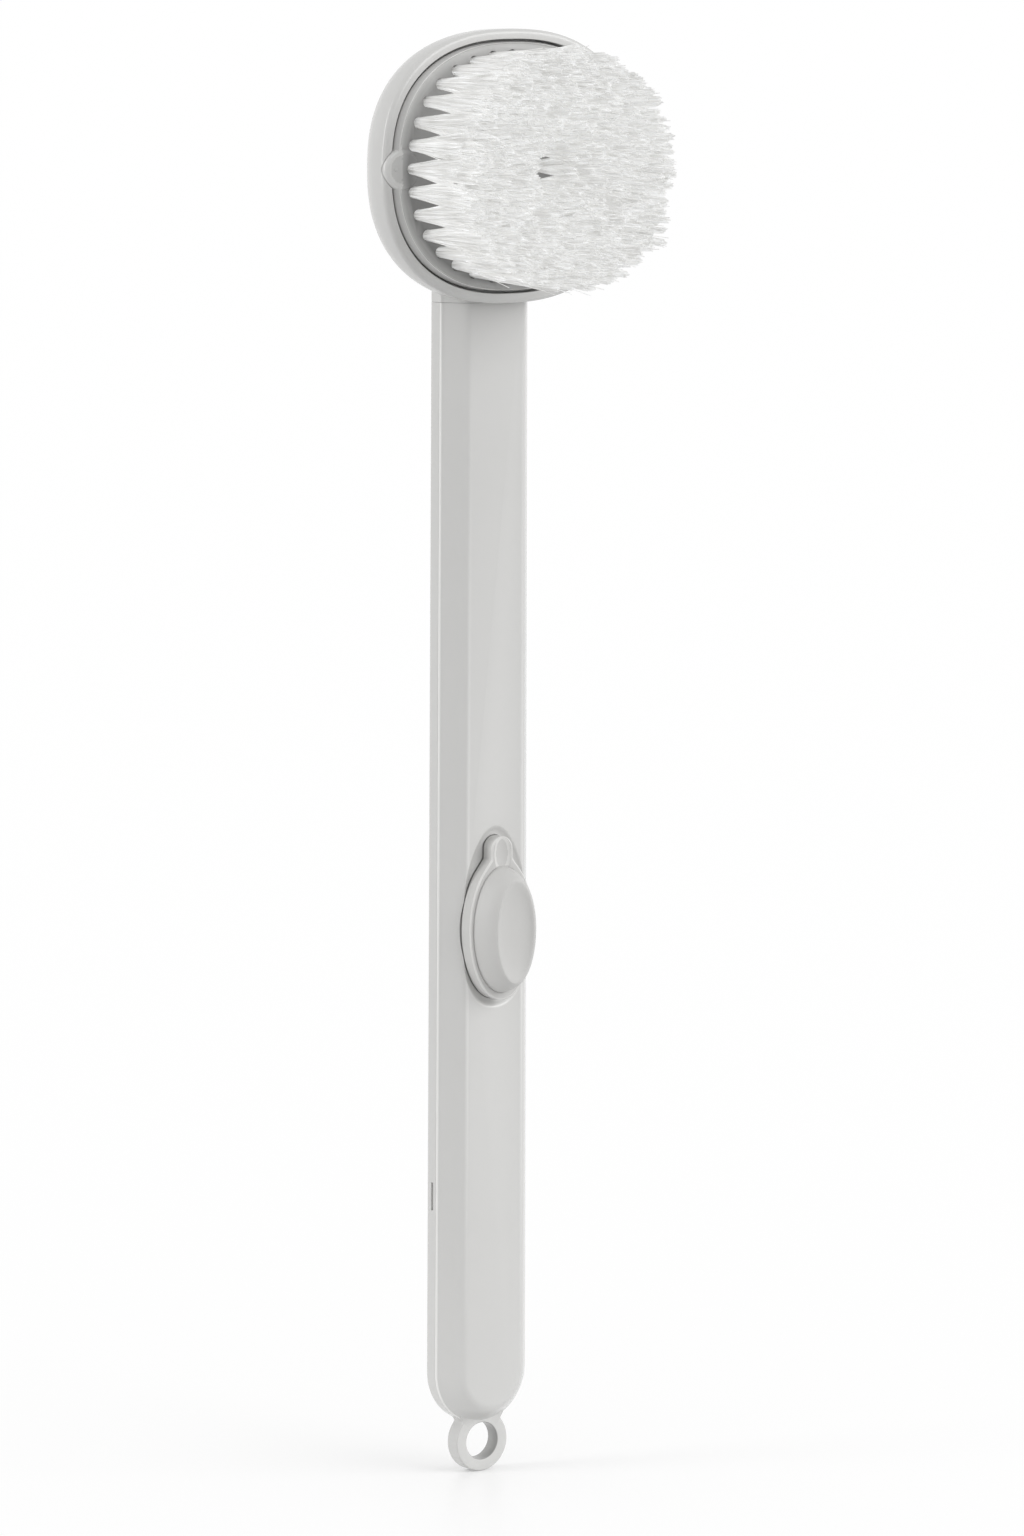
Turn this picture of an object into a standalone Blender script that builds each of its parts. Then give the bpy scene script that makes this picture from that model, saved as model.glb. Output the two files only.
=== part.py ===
"""Long-handle cleaning brush with a soap reservoir in its handle.

The origin is the centre of the hanging loop's eye. +Z runs along the handle to the
head, and the bristles point along -Y. Every length is in metres.
"""

import math

import bmesh
import bpy
from mathutils import Matrix, Vector

MM = 0.001
FULL_TURN = 2 * math.pi
MERGE_DISTANCE = 0.01 * MM

# Clearances shared by all pieces
SEAT_GAP = 0.3 * MM
CUT_OVERRUN = 2.0 * MM
SHARP_ANGLE = math.radians(30)

# Hanging loop on the handle's end
LOOP_OUTER_RADIUS = 7.9 * MM
LOOP_EYE_RADIUS = 4.8 * MM
LOOP_THICKNESS = 4.4 * MM
LOOP_OVERLAP = 3.0 * MM
LOOP_SECTION_EXPONENT = 4.0
LOOP_SECTION_STEPS = 16
LOOP_STEPS = 32

# Handle shells, split at the parting plane
HANDLE_LENGTH = 288.3 * MM
HANDLE_WIDTH_LOW = 27.8 * MM
HANDLE_WIDTH_TOP = 26.6 * MM
PARTING_SETBACK = 0.8 * MM
FRONT_DEPTH = 6.4 * MM
BACK_DEPTH = 4.6 * MM
FLANK_WIDTH = 4.9 * MM
BACK_ROUNDING = 1.6 * MM
HOLLOW_CHAMFER = 1.0 * MM
SHELL_WALL = 1.6 * MM
FACE_WALL = 2.6 * MM
END_ARC_STEPS = 24
BACK_ROUNDING_STEPS = 3
# Shares of the flank's width (inwards) and of the front's depth (forwards)
FLANK_SHARES = (
    (0.0, 0.0), (0.02, 0.05), (0.08, 0.13), (0.42, 0.47),
    (0.70, 0.76), (0.86, 0.91), (1.0, 1.0),
)
PRY_NOTCH_HEIGHT = 64.9 * MM
PRY_NOTCH_LENGTH = 7.2 * MM
PRY_NOTCH_WIDTH = 0.9 * MM
PRY_NOTCH_DEPTH = 0.6 * MM

# Recess and refill mouth in the handle's face
RECESS_HALF_WIDTH = 10.7 * MM
RECESS_REACH_UP = 26.4 * MM
RECESS_REACH_DOWN = 20.3 * MM
RECESS_UP_EXPONENT = 1.85
RECESS_DOWN_EXPONENT = 2.3
RECESS_DEPTH = 1.2 * MM
RECESS_SLOPE_WIDTH = 1.1 * MM
# Shares of the slope's width (inwards) and of the recess's depth (backwards)
RECESS_SLOPE_SHARES = ((0.0, 0.0), (0.5, 0.75), (1.0, 1.0))
MOUTH_HALF_WIDTH = 6.4 * MM
MOUTH_HALF_HEIGHT = 13.0 * MM

# Refill plug: keyhole flange, well for the pump button and sleeve in the mouth
PLUG_HEIGHT = 134.2 * MM
PLUG_HALF_WIDTH = 10.0 * MM
PLUG_HALF_HEIGHT = 18.2 * MM
PLUG_THICKNESS = 4.2 * MM
PLUG_UNDERCUT = 0.8 * MM
PLUG_ROUNDING = 0.9 * MM
# Shares of the rounding: inwards, and back from the plug's front
PLUG_EDGE_SHARES = ((0.0, 1.0), (0.3, 0.3), (1.0, 0.0))
TAB_HALF_WIDTH = 3.3 * MM
TAB_REACH = 23.8 * MM
TAB_FILLET = 2.6 * MM
TAB_DISH_RADIUS = 9.0 * MM
TAB_DISH_DEPTH = 0.5 * MM
TAB_DISH_STEPS = 24
WELL_FLOOR_WALL = 0.7 * MM
SLEEVE_WALL = 1.4 * MM
SLEEVE_LENGTH = 2.4 * MM
KEYHOLE_JOIN_ANGLE = math.radians(60)
KEYHOLE_OVAL_STEPS = 20
KEYHOLE_NECK_STEPS = 5
KEYHOLE_TAB_STEPS = 6

# Pump button
BUTTON_HALF_WIDTH = 8.9 * MM
BUTTON_HALF_HEIGHT = 16.2 * MM
BUTTON_SINK = 0.3 * MM
BUTTON_RISE = 6.6 * MM
BUTTON_RIDGE_INSET = 3.2 * MM
BUTTON_DISH_DEPTH = 1.1 * MM
BUTTON_WALL = 1.2 * MM
BUTTON_STEPS = 40
# Shares of the ridge inset (inwards) and of the rise (forwards)
BUTTON_SIDE_SHARES = ((0.0, 0.0), (0.10, 0.22), (0.34, 0.56), (0.60, 0.84), (0.80, 0.96), (1.0, 1.0))
# Shares of the ridge's half sizes (kept) and of the dish's depth (backwards)
BUTTON_DISH_SHARES = ((0.88, 0.14), (0.66, 0.58), (0.36, 0.90))

# Head housing: a cup that holds the brush plate
CUP_HALF_WIDTH = 38.8 * MM
CUP_HALF_HEIGHT = 34.3 * MM
CUP_EXPONENT = 2.4
CUP_LIP_SETOUT = 6.05 * MM
CUP_WALL = 2.5 * MM
CUP_LIP_ROUNDING = 1.2 * MM
CUP_STRAIGHT = 3.4 * MM
CUP_BACK_INSET = 15.0 * MM
CUP_BACK_PROUD = 0.2 * MM
CUP_FLOOR_DEPTH = 4.55 * MM
CUP_STEPS = 52
CUP_LIP_STEPS = 4
CUP_BACK_STEPS = 5
NECK_BLOCK_HEIGHT = 17.0 * MM
SOCKET_DEPTH = 13.0 * MM

# Brush plate, seated in the cup
PLATE_REAR_CHAMFER = 0.5 * MM
PLATE_EDGE_SETBACK = 0.6 * MM
FIELD_RISE = 0.8 * MM
FIELD_LAND = 0.5 * MM
# Shares of the way from the plate's edge to the tuft field, and of the field's rise
PLATE_RIM_SHARES = (
    (0.0, 0.0), (0.06, 0.70), (0.16, 1.35), (0.28, 1.60), (0.40, 1.50),
    (0.54, 1.20), (0.70, 1.04), (1.0, 1.0),
)
EAR_RADIUS = 4.5 * MM
EAR_REACH = 1.9 * MM
EAR_DEPTH = 2.4 * MM
EAR_ROUNDING = 0.7 * MM
EAR_DIMPLE_RADIUS = 1.1 * MM
EAR_DIMPLE_DEPTH = 0.35 * MM
EAR_DIMPLE_OFFSET = 0.9 * MM
EAR_ROUNDING_STEPS = 3
EAR_DIMPLE_STEPS = 12
EAR_STEPS = 24

# Tufts of bristles, in rings round the soap outlet
TUFT_SIDE_MARGIN = 5.7 * MM
TUFT_END_MARGIN = 3.7 * MM
TUFT_RING_EXPONENT = 2.25
TUFT_RING_COUNT = 5
TUFT_RING_STEP_SHARE = 0.19
TUFT_PITCH = 5.75 * MM
TUFT_RADIUS = 0.85 * MM
TUFT_TIP_RADIUS = 1.95 * MM
TUFT_MARGIN = 1.8 * MM
TUFT_LEAN_SHARE = 0.015
STRANDS_PER_TUFT = 4
STRAND_SIDES = 3
STRAND_BASE_RADIUS = 0.5 * MM
STRAND_TIP_RADIUS = 0.34 * MM
STRAND_LENGTH = 28.6 * MM
STRAND_UNEVENNESS = 0.8 * MM
STRAND_ROOT = 0.8 * MM
BACKING_THICKNESS = 2.0 * MM
BACKING_STEPS = 40
CURVE_SAMPLES = 720
# Steps of a plain repeating pattern that makes the strands' lengths uneven
UNEVEN_STEP = 37
UNEVEN_CYCLE = 101

# Soap outlet in the middle of the plate
OUTLET_BOSS_RADIUS = 3.8 * MM
VALVE_RADIUS = 2.7 * MM
VALVE_FLANGE_RADIUS = 3.2 * MM
VALVE_NOSE_LENGTH = 1.4 * MM
VALVE_FLANGE_THICKNESS = 0.7 * MM
VALVE_WALL = 0.8 * MM
VALVE_SLIT_WIDTH = 0.3 * MM
VALVE_SLIT_LENGTH = 2.6 * MM
RETAINER_THICKNESS = 0.8 * MM
RETAINER_BORE_RADIUS = 1.8 * MM
ROUND_STEPS = 24

# Feed elbow, tube and seals
ELBOW_RADIUS = 4.5 * MM
ELBOW_DEPTH = 9.6 * MM
ELBOW_BOSS_RADIUS = 2.3 * MM
ELBOW_BOSS_LENGTH = 1.2 * MM
FEED_BORE_RADIUS = 1.0 * MM
FEED_BORE_OVERLAP = 0.35 * MM
ELBOW_STEPS = 26
SPIGOT_RADIUS = 1.7 * MM
SPIGOT_LENGTH = 6.0 * MM
BARB_LENGTH = 5.0 * MM
TUBE_WALL = 1.0 * MM
TUBE_END_GAP = 0.5 * MM
BOSS_SEAL_WIDTH = 0.7 * MM
BOSS_SEAL_OFFSET = 0.4 * MM

# Neck plug that closes the reservoir and carries the head
NECK_PLUG_IN_HANDLE = 16.0 * MM
NECK_SEAL_OFFSET = 3.0 * MM
NECK_SEAL_WIDTH = 2.0 * MM
NECK_SEAL_DEPTH = 1.0 * MM

# Screws through the cup's floor into the neck plug
SCREW_SPACING = 12.0 * MM
SCREW_HEIGHT_ABOVE_SEAM = 7.0 * MM
SCREW_HEAD_RADIUS = 2.2 * MM
SCREW_HEAD_HEIGHT = 1.4 * MM
SCREW_SHANK_RADIUS = 1.1 * MM
SCREW_SHANK_LENGTH = 8.2 * MM
SCREW_SLOT_WIDTH = 0.6 * MM
SCREW_SLOT_DEPTH = 0.5 * MM
SCREW_HOLE_STEPS = 14

# Places worked out from the sizes above
HANDLE_END = LOOP_OUTER_RADIUS - LOOP_OVERLAP
HANDLE_TOP = HANDLE_END + HANDLE_LENGTH
PARTING_Y = -PARTING_SETBACK
FACE_Y = PARTING_Y - FRONT_DEPTH
BACK_Y = PARTING_Y + BACK_DEPTH
INNER_FACE_Y = FACE_Y + FACE_WALL
INNER_BACK_Y = BACK_Y - SHELL_WALL
HEAD_SEAM = HANDLE_TOP + SEAT_GAP
HEAD_CENTRE = HEAD_SEAM + CUP_HALF_HEIGHT
LIP_Y = FACE_Y - CUP_LIP_SETOUT
CUP_FLOOR_Y = LIP_Y + CUP_FLOOR_DEPTH
CUP_BACK_Y = BACK_Y + CUP_BACK_PROUD
CUP_OPENING_HALF_WIDTH = CUP_HALF_WIDTH - CUP_WALL
CUP_OPENING_HALF_HEIGHT = CUP_HALF_HEIGHT - CUP_WALL
PLATE_HALF_WIDTH = CUP_OPENING_HALF_WIDTH - SEAT_GAP
PLATE_HALF_HEIGHT = CUP_OPENING_HALF_HEIGHT - SEAT_GAP
PLATE_REAR_Y = CUP_FLOOR_Y - SEAT_GAP
PLATE_EDGE_Y = LIP_Y + PLATE_EDGE_SETBACK
FIELD_Y = PLATE_EDGE_Y - FIELD_RISE
BACKING_REAR_Y = FIELD_Y + BACKING_THICKNESS
TUFT_HALF_WIDTH = PLATE_HALF_WIDTH - TUFT_SIDE_MARGIN
TUFT_HALF_HEIGHT = PLATE_HALF_HEIGHT - TUFT_END_MARGIN
TUFT_RING_STEP_X = TUFT_HALF_WIDTH * TUFT_RING_STEP_SHARE
TUFT_RING_STEP_Z = TUFT_HALF_HEIGHT * TUFT_RING_STEP_SHARE
FIELD_HALF_WIDTH = TUFT_HALF_WIDTH + TUFT_MARGIN
FIELD_HALF_HEIGHT = TUFT_HALF_HEIGHT + TUFT_MARGIN
EAR_CENTRE_X = PLATE_HALF_WIDTH + EAR_REACH - EAR_RADIUS
EAR_FRONT_Y = PLATE_EDGE_Y - FIELD_RISE * PLATE_RIM_SHARES[3][1]
RECESS_FLOOR_Y = FACE_Y + RECESS_DEPTH
PLUG_REAR_Y = RECESS_FLOOR_Y - SEAT_GAP
PLUG_FRONT_Y = PLUG_REAR_Y - PLUG_THICKNESS
CREASE_Y = PLUG_FRONT_Y + PLUG_ROUNDING / 2
WELL_FLOOR_Y = PLUG_REAR_Y - WELL_FLOOR_WALL
WELL_HALF_WIDTH = BUTTON_HALF_WIDTH + SEAT_GAP
WELL_HALF_HEIGHT = BUTTON_HALF_HEIGHT + SEAT_GAP
SLEEVE_HALF_WIDTH = MOUTH_HALF_WIDTH - SEAT_GAP
SLEEVE_HALF_HEIGHT = MOUTH_HALF_HEIGHT - SEAT_GAP
BUTTON_REAR_Y = CREASE_Y + BUTTON_SINK
BUTTON_TRAVEL = WELL_FLOOR_Y - BUTTON_REAR_Y - SEAT_GAP
FEED_Y = (INNER_FACE_Y + INNER_BACK_Y) / 2
SOCKET_TOP = HEAD_SEAM + SOCKET_DEPTH
NECK_PLUG_TOP = SOCKET_TOP - SEAT_GAP
NECK_PLUG_LOW = HANDLE_TOP - NECK_PLUG_IN_HANDLE
TUBE_BORE_RADIUS = SPIGOT_RADIUS + SEAT_GAP
TUBE_RADIUS = TUBE_BORE_RADIUS + TUBE_WALL
GROOVE_HALF_WIDTH = TUBE_RADIUS + SEAT_GAP
ELBOW_LOW = HEAD_CENTRE - ELBOW_RADIUS
VALVE_REAR_Y = FIELD_Y + VALVE_NOSE_LENGTH + VALVE_FLANGE_THICKNESS
OUTLET_SOCKET_RADIUS = VALVE_FLANGE_RADIUS + SEAT_GAP

WARM_GREY = (0.62, 0.61, 0.59)
SOFT_GREY = (0.56, 0.555, 0.54)
DEEP_GREY = (0.48, 0.475, 0.46)
NYLON_WHITE = (0.90, 0.89, 0.87)
CLEAR_SILICONE = (0.80, 0.81, 0.80)
DARK_SEAL = (0.16, 0.16, 0.17)
STEEL = (0.62, 0.62, 0.63)

PARTS = None
CUTTERS = None


def clear_scene():
    """Remove every object, mesh and collection of the opened file."""
    for item in list(bpy.data.objects):
        bpy.data.objects.remove(item, do_unlink=True)
    for mesh in list(bpy.data.meshes):
        bpy.data.meshes.remove(mesh)
    for group in list(bpy.data.collections):
        bpy.data.collections.remove(group)


def make_collection(name):
    """Add a collection to the scene."""
    group = bpy.data.collections.new(name)
    bpy.context.scene.collection.children.link(group)
    return group


def make_material(name, colour, roughness, metallic=0.0):
    """Return a Principled material of one colour."""
    material = bpy.data.materials.new(name)
    material.use_nodes = True
    shader = material.node_tree.nodes["Principled BSDF"]
    shader.inputs["Base Color"].default_value = (*colour, 1.0)
    shader.inputs["Roughness"].default_value = roughness
    shader.inputs["Metallic"].default_value = metallic
    return material


def object_from(builder, name, colour=None, roughness=0.5, metallic=0.0):
    """Turn a bmesh into an object: a part when it has a colour, a cutter when not."""
    mesh = bpy.data.meshes.new(name)
    builder.to_mesh(mesh)
    builder.free()
    item = bpy.data.objects.new(name, mesh)
    if colour is None:
        CUTTERS.objects.link(item)
        item.hide_render = True
        item.display_type = "WIRE"
    else:
        PARTS.objects.link(item)
        mesh.materials.append(make_material(name + "_finish", colour, roughness, metallic))
        mesh.shade_smooth()
        mesh.set_sharp_from_angle(angle=SHARP_ANGLE)
    return item


def combine(target, tool, operation):
    """Add a Boolean modifier with the exact solver."""
    modifier = target.modifiers.new(tool.name, "BOOLEAN")
    modifier.operation = operation
    modifier.solver = "EXACT"
    modifier.object = tool


def cut(target, *tools):
    """Take each tool's shape out of the target."""
    for tool in tools:
        combine(target, tool, "DIFFERENCE")


def join(target, *tools):
    """Fuse each tool's shape with the target."""
    for tool in tools:
        combine(target, tool, "UNION")


def loft(rings, closed=False):
    """Skin rings of equal point counts, capped at both ends unless closed on itself."""
    builder = bmesh.new()
    loops = [[builder.verts.new(point) for point in ring] for ring in rings]
    pairs = list(zip(loops, loops[1:]))
    if closed:
        pairs.append((loops[-1], loops[0]))
    for lower, upper in pairs:
        for index in range(len(lower)):
            builder.faces.new((lower[index - 1], lower[index], upper[index], upper[index - 1]))
    if not closed:
        builder.faces.new(loops[0])
        builder.faces.new(loops[-1])
    bmesh.ops.recalc_face_normals(builder, faces=builder.faces)
    return builder


def oval(half_width, half_height, depth, height, steps, exponent=2.0):
    """Return a superellipse in a plane of constant Y, centred at a height on the Z axis."""
    points = []
    for index in range(steps):
        angle = FULL_TURN * index / steps
        across, along = math.cos(angle), math.sin(angle)
        reach = (abs(across / half_width) ** exponent + abs(along / half_height) ** exponent) ** (-1 / exponent)
        points.append(Vector((reach * across, depth, height + reach * along)))
    return points


def blend_oval(outer, inner, share, depth, height, steps):
    """Return an oval part of the way between two (half width, half height, exponent)."""
    sizes = [a + (b - a) * share for a, b in zip(outer, inner)]
    return oval(sizes[0], sizes[1], depth, height, steps, sizes[2])


def rod(start, end, radius, steps=ROUND_STEPS, end_radius=None):
    """Return a bmesh cylinder or cone between two points."""
    builder = bmesh.new()
    add_rod(builder, start, end, radius, steps, end_radius)
    return builder


def add_rod(builder, start, end, radius, steps, end_radius=None):
    """Add a cylinder or cone between two points to a bmesh."""
    start, end = Vector(start), Vector(end)
    axis = end - start
    turn = axis.to_track_quat("Z", "Y").to_matrix().to_4x4()
    place = Matrix.Translation((start + end) / 2) @ turn
    bmesh.ops.create_cone(
        builder, cap_ends=True, segments=steps, radius1=radius,
        radius2=radius if end_radius is None else end_radius,
        depth=axis.length, matrix=place,
    )


def add_block(builder, low, high):
    """Add a box between two corners to a bmesh."""
    low, high = Vector(low), Vector(high)
    made = bmesh.ops.create_cube(builder, size=1.0)
    bmesh.ops.scale(builder, vec=high - low, verts=made["verts"])
    bmesh.ops.translate(builder, vec=(low + high) / 2, verts=made["verts"])


def block(low, high):
    """Return a bmesh box between two corners."""
    builder = bmesh.new()
    add_block(builder, low, high)
    return builder


def turned(name, profile, centre_z, colour, roughness, closed=False, metallic=0.0, centre_x=0.0):
    """Turn a profile of (radius, Y) points about an axis along Y.

    The profile runs down the outer side from the front, which is the lowest Y.
    """
    builder = bmesh.new()
    points = [builder.verts.new((radius, 0.0, -depth)) for radius, depth in profile]
    for first, second in zip(points, points[1:]):
        builder.edges.new((first, second))
    if closed:
        builder.edges.new((points[-1], points[0]))
    item = object_from(builder, name, colour, roughness, metallic)
    screw = item.modifiers.new("turn", "SCREW")
    screw.axis = "Z"
    screw.steps = ROUND_STEPS
    screw.render_steps = ROUND_STEPS
    screw.use_merge_vertices = True
    screw.merge_threshold = MERGE_DISTANCE
    item.rotation_euler = (math.radians(90), 0.0, 0.0)
    item.location = (centre_x, 0.0, centre_z)
    return item


def handle_outline(inset, depth, top):
    """Return the handle's outline, drawn in by an inset, in a plane of constant Y."""
    end_radius = HANDLE_WIDTH_LOW / 2
    centre = HANDLE_END + end_radius
    top_half = HANDLE_WIDTH_TOP / 2 - inset
    points = [Vector((top_half, depth, top))]
    for index in range(END_ARC_STEPS + 1):
        angle = -math.pi * index / END_ARC_STEPS
        reach = end_radius - inset
        points.append(Vector((reach * math.cos(angle), depth, centre + reach * math.sin(angle))))
    points.append(Vector((-top_half, depth, top)))
    return points


def back_rounding(radius):
    """Return (inset, step back from the rounding's start) pairs of an edge at the back."""
    pairs = []
    for index in range(BACK_ROUNDING_STEPS + 1):
        angle = math.pi / 2 * index / BACK_ROUNDING_STEPS
        pairs.append((radius * (1 - math.cos(angle)), radius * math.sin(angle)))
    return pairs


def front_rings(inset, depth, start, top):
    """Return the front shell's nested outlines, from the parting plane to the face."""
    rings = [handle_outline(inset, start, top)]
    for inwards, forwards in FLANK_SHARES[1:]:
        rings.append(handle_outline(inset + FLANK_WIDTH * inwards, PARTING_Y - depth * forwards, top))
    return rings


def handle_section(inset, front_depth, back_y, height):
    """Return the handle's cross-section at its top, drawn in by an inset, at one height."""
    half = HANDLE_WIDTH_TOP / 2 - inset
    side = [(half, PARTING_Y)]
    for inwards, forwards in FLANK_SHARES[1:]:
        side.append((half - FLANK_WIDTH * inwards, PARTING_Y - front_depth * forwards))
    radius = min(BACK_ROUNDING, (back_y - PARTING_Y) / 2)
    corner = []
    for drawn_in, backwards in back_rounding(radius):
        corner.append((half - drawn_in, back_y - radius + backwards))
    right = list(reversed(corner)) + side
    points = [Vector((x, y, height)) for x, y in right]
    points += [Vector((-x, y, height)) for x, y in reversed(right)]
    return points


def recess_outline(inset, depth):
    """Return the recess's egg-shaped outline, pointed upwards, in a plane of constant Y."""
    half_width = RECESS_HALF_WIDTH - inset
    upper = oval(half_width, RECESS_REACH_UP - inset, depth, PLUG_HEIGHT, BUTTON_STEPS, RECESS_UP_EXPONENT)
    lower = oval(half_width, RECESS_REACH_DOWN - inset, depth, PLUG_HEIGHT, BUTTON_STEPS,
                 RECESS_DOWN_EXPONENT)
    return [high if high.z > PLUG_HEIGHT else low for high, low in zip(upper, lower)]


def build_front_shell():
    """Front half of the handle: crowned face, recess and refill mouth."""
    shell = object_from(
        loft(front_rings(0.0, FRONT_DEPTH, PARTING_Y - SEAT_GAP / 2, HANDLE_TOP)),
        "handle_front_shell", WARM_GREY, 0.42,
    )
    hollow = object_from(loft(front_rings(
        SHELL_WALL, FRONT_DEPTH - FACE_WALL, PARTING_Y + CUT_OVERRUN, HANDLE_TOP + CUT_OVERRUN,
    )), "front_hollow_cutter")
    recess_rings = [recess_outline(0.0, FACE_Y - CUT_OVERRUN)]
    for inwards, backwards in RECESS_SLOPE_SHARES:
        recess_rings.append(recess_outline(RECESS_SLOPE_WIDTH * inwards, FACE_Y + RECESS_DEPTH * backwards))
    recess = object_from(loft(recess_rings), "recess_cutter")
    mouth = object_from(loft([
        oval(MOUTH_HALF_WIDTH, MOUTH_HALF_HEIGHT, FACE_Y - CUT_OVERRUN, PLUG_HEIGHT, BUTTON_STEPS),
        oval(MOUTH_HALF_WIDTH, MOUTH_HALF_HEIGHT, INNER_FACE_Y + CUT_OVERRUN, PLUG_HEIGHT, BUTTON_STEPS),
    ]), "mouth_cutter")
    cut(shell, hollow, recess, mouth)
    return shell


def build_back_shell():
    """Back half of the handle, a tray with a pry notch in each side."""
    start = PARTING_Y + SEAT_GAP / 2
    rings = [handle_outline(0.0, start, HANDLE_TOP)]
    for drawn_in, backwards in back_rounding(BACK_ROUNDING):
        rings.append(handle_outline(drawn_in, BACK_Y - BACK_ROUNDING + backwards, HANDLE_TOP))
    shell = object_from(loft(rings), "handle_back_shell", WARM_GREY, 0.42)

    hollow = object_from(loft([
        handle_outline(SHELL_WALL, PARTING_Y - CUT_OVERRUN, HANDLE_TOP + CUT_OVERRUN),
        handle_outline(SHELL_WALL, INNER_BACK_Y - HOLLOW_CHAMFER, HANDLE_TOP + CUT_OVERRUN),
        handle_outline(SHELL_WALL + HOLLOW_CHAMFER, INNER_BACK_Y, HANDLE_TOP + CUT_OVERRUN),
    ]), "back_hollow_cutter")
    notches = bmesh.new()
    middle = (INNER_BACK_Y + start) / 2
    for sign in (-1, 1):
        near, far = HANDLE_WIDTH_LOW / 2 - PRY_NOTCH_DEPTH, HANDLE_WIDTH_LOW / 2 + CUT_OVERRUN
        add_block(
            notches,
            (min(sign * near, sign * far), middle - PRY_NOTCH_WIDTH / 2,
             PRY_NOTCH_HEIGHT - PRY_NOTCH_LENGTH / 2),
            (max(sign * near, sign * far), middle + PRY_NOTCH_WIDTH / 2,
             PRY_NOTCH_HEIGHT + PRY_NOTCH_LENGTH / 2),
        )
    cut(shell, hollow, object_from(notches, "pry_notch_cutter"))
    return shell


def build_hanging_loop():
    """Loop on the handle's end: a ring cut off where it meets the shells."""
    ring_radius = (LOOP_OUTER_RADIUS + LOOP_EYE_RADIUS) / 2
    ring_half = (LOOP_OUTER_RADIUS - LOOP_EYE_RADIUS) / 2
    builder = bmesh.new()
    section = []
    for point in oval(ring_half, LOOP_THICKNESS / 2, 0.0, 0.0, LOOP_SECTION_STEPS, LOOP_SECTION_EXPONENT):
        section.append(builder.verts.new((ring_radius + point.x, 0.0, -point.z)))
    for index in range(len(section)):
        builder.edges.new((section[index - 1], section[index]))
    loop = object_from(builder, "hanging_loop", WARM_GREY, 0.42)
    screw = loop.modifiers.new("turn", "SCREW")
    screw.axis = "Z"
    screw.steps = LOOP_STEPS
    screw.render_steps = LOOP_STEPS
    screw.use_merge_vertices = True
    screw.merge_threshold = MERGE_DISTANCE
    loop.rotation_euler = (math.radians(90), 0.0, 0.0)

    shells = object_from(loft([
        handle_outline(-SEAT_GAP, FACE_Y, HANDLE_TOP),
        handle_outline(-SEAT_GAP, BACK_Y + CUT_OVERRUN, HANDLE_TOP),
    ]), "loop_seat_cutter")
    cut(loop, shells)
    return loop


def cup_sizes(inset):
    """Return the cup's outline, drawn in by an inset."""
    return CUP_HALF_WIDTH - inset, CUP_HALF_HEIGHT - inset


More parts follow.
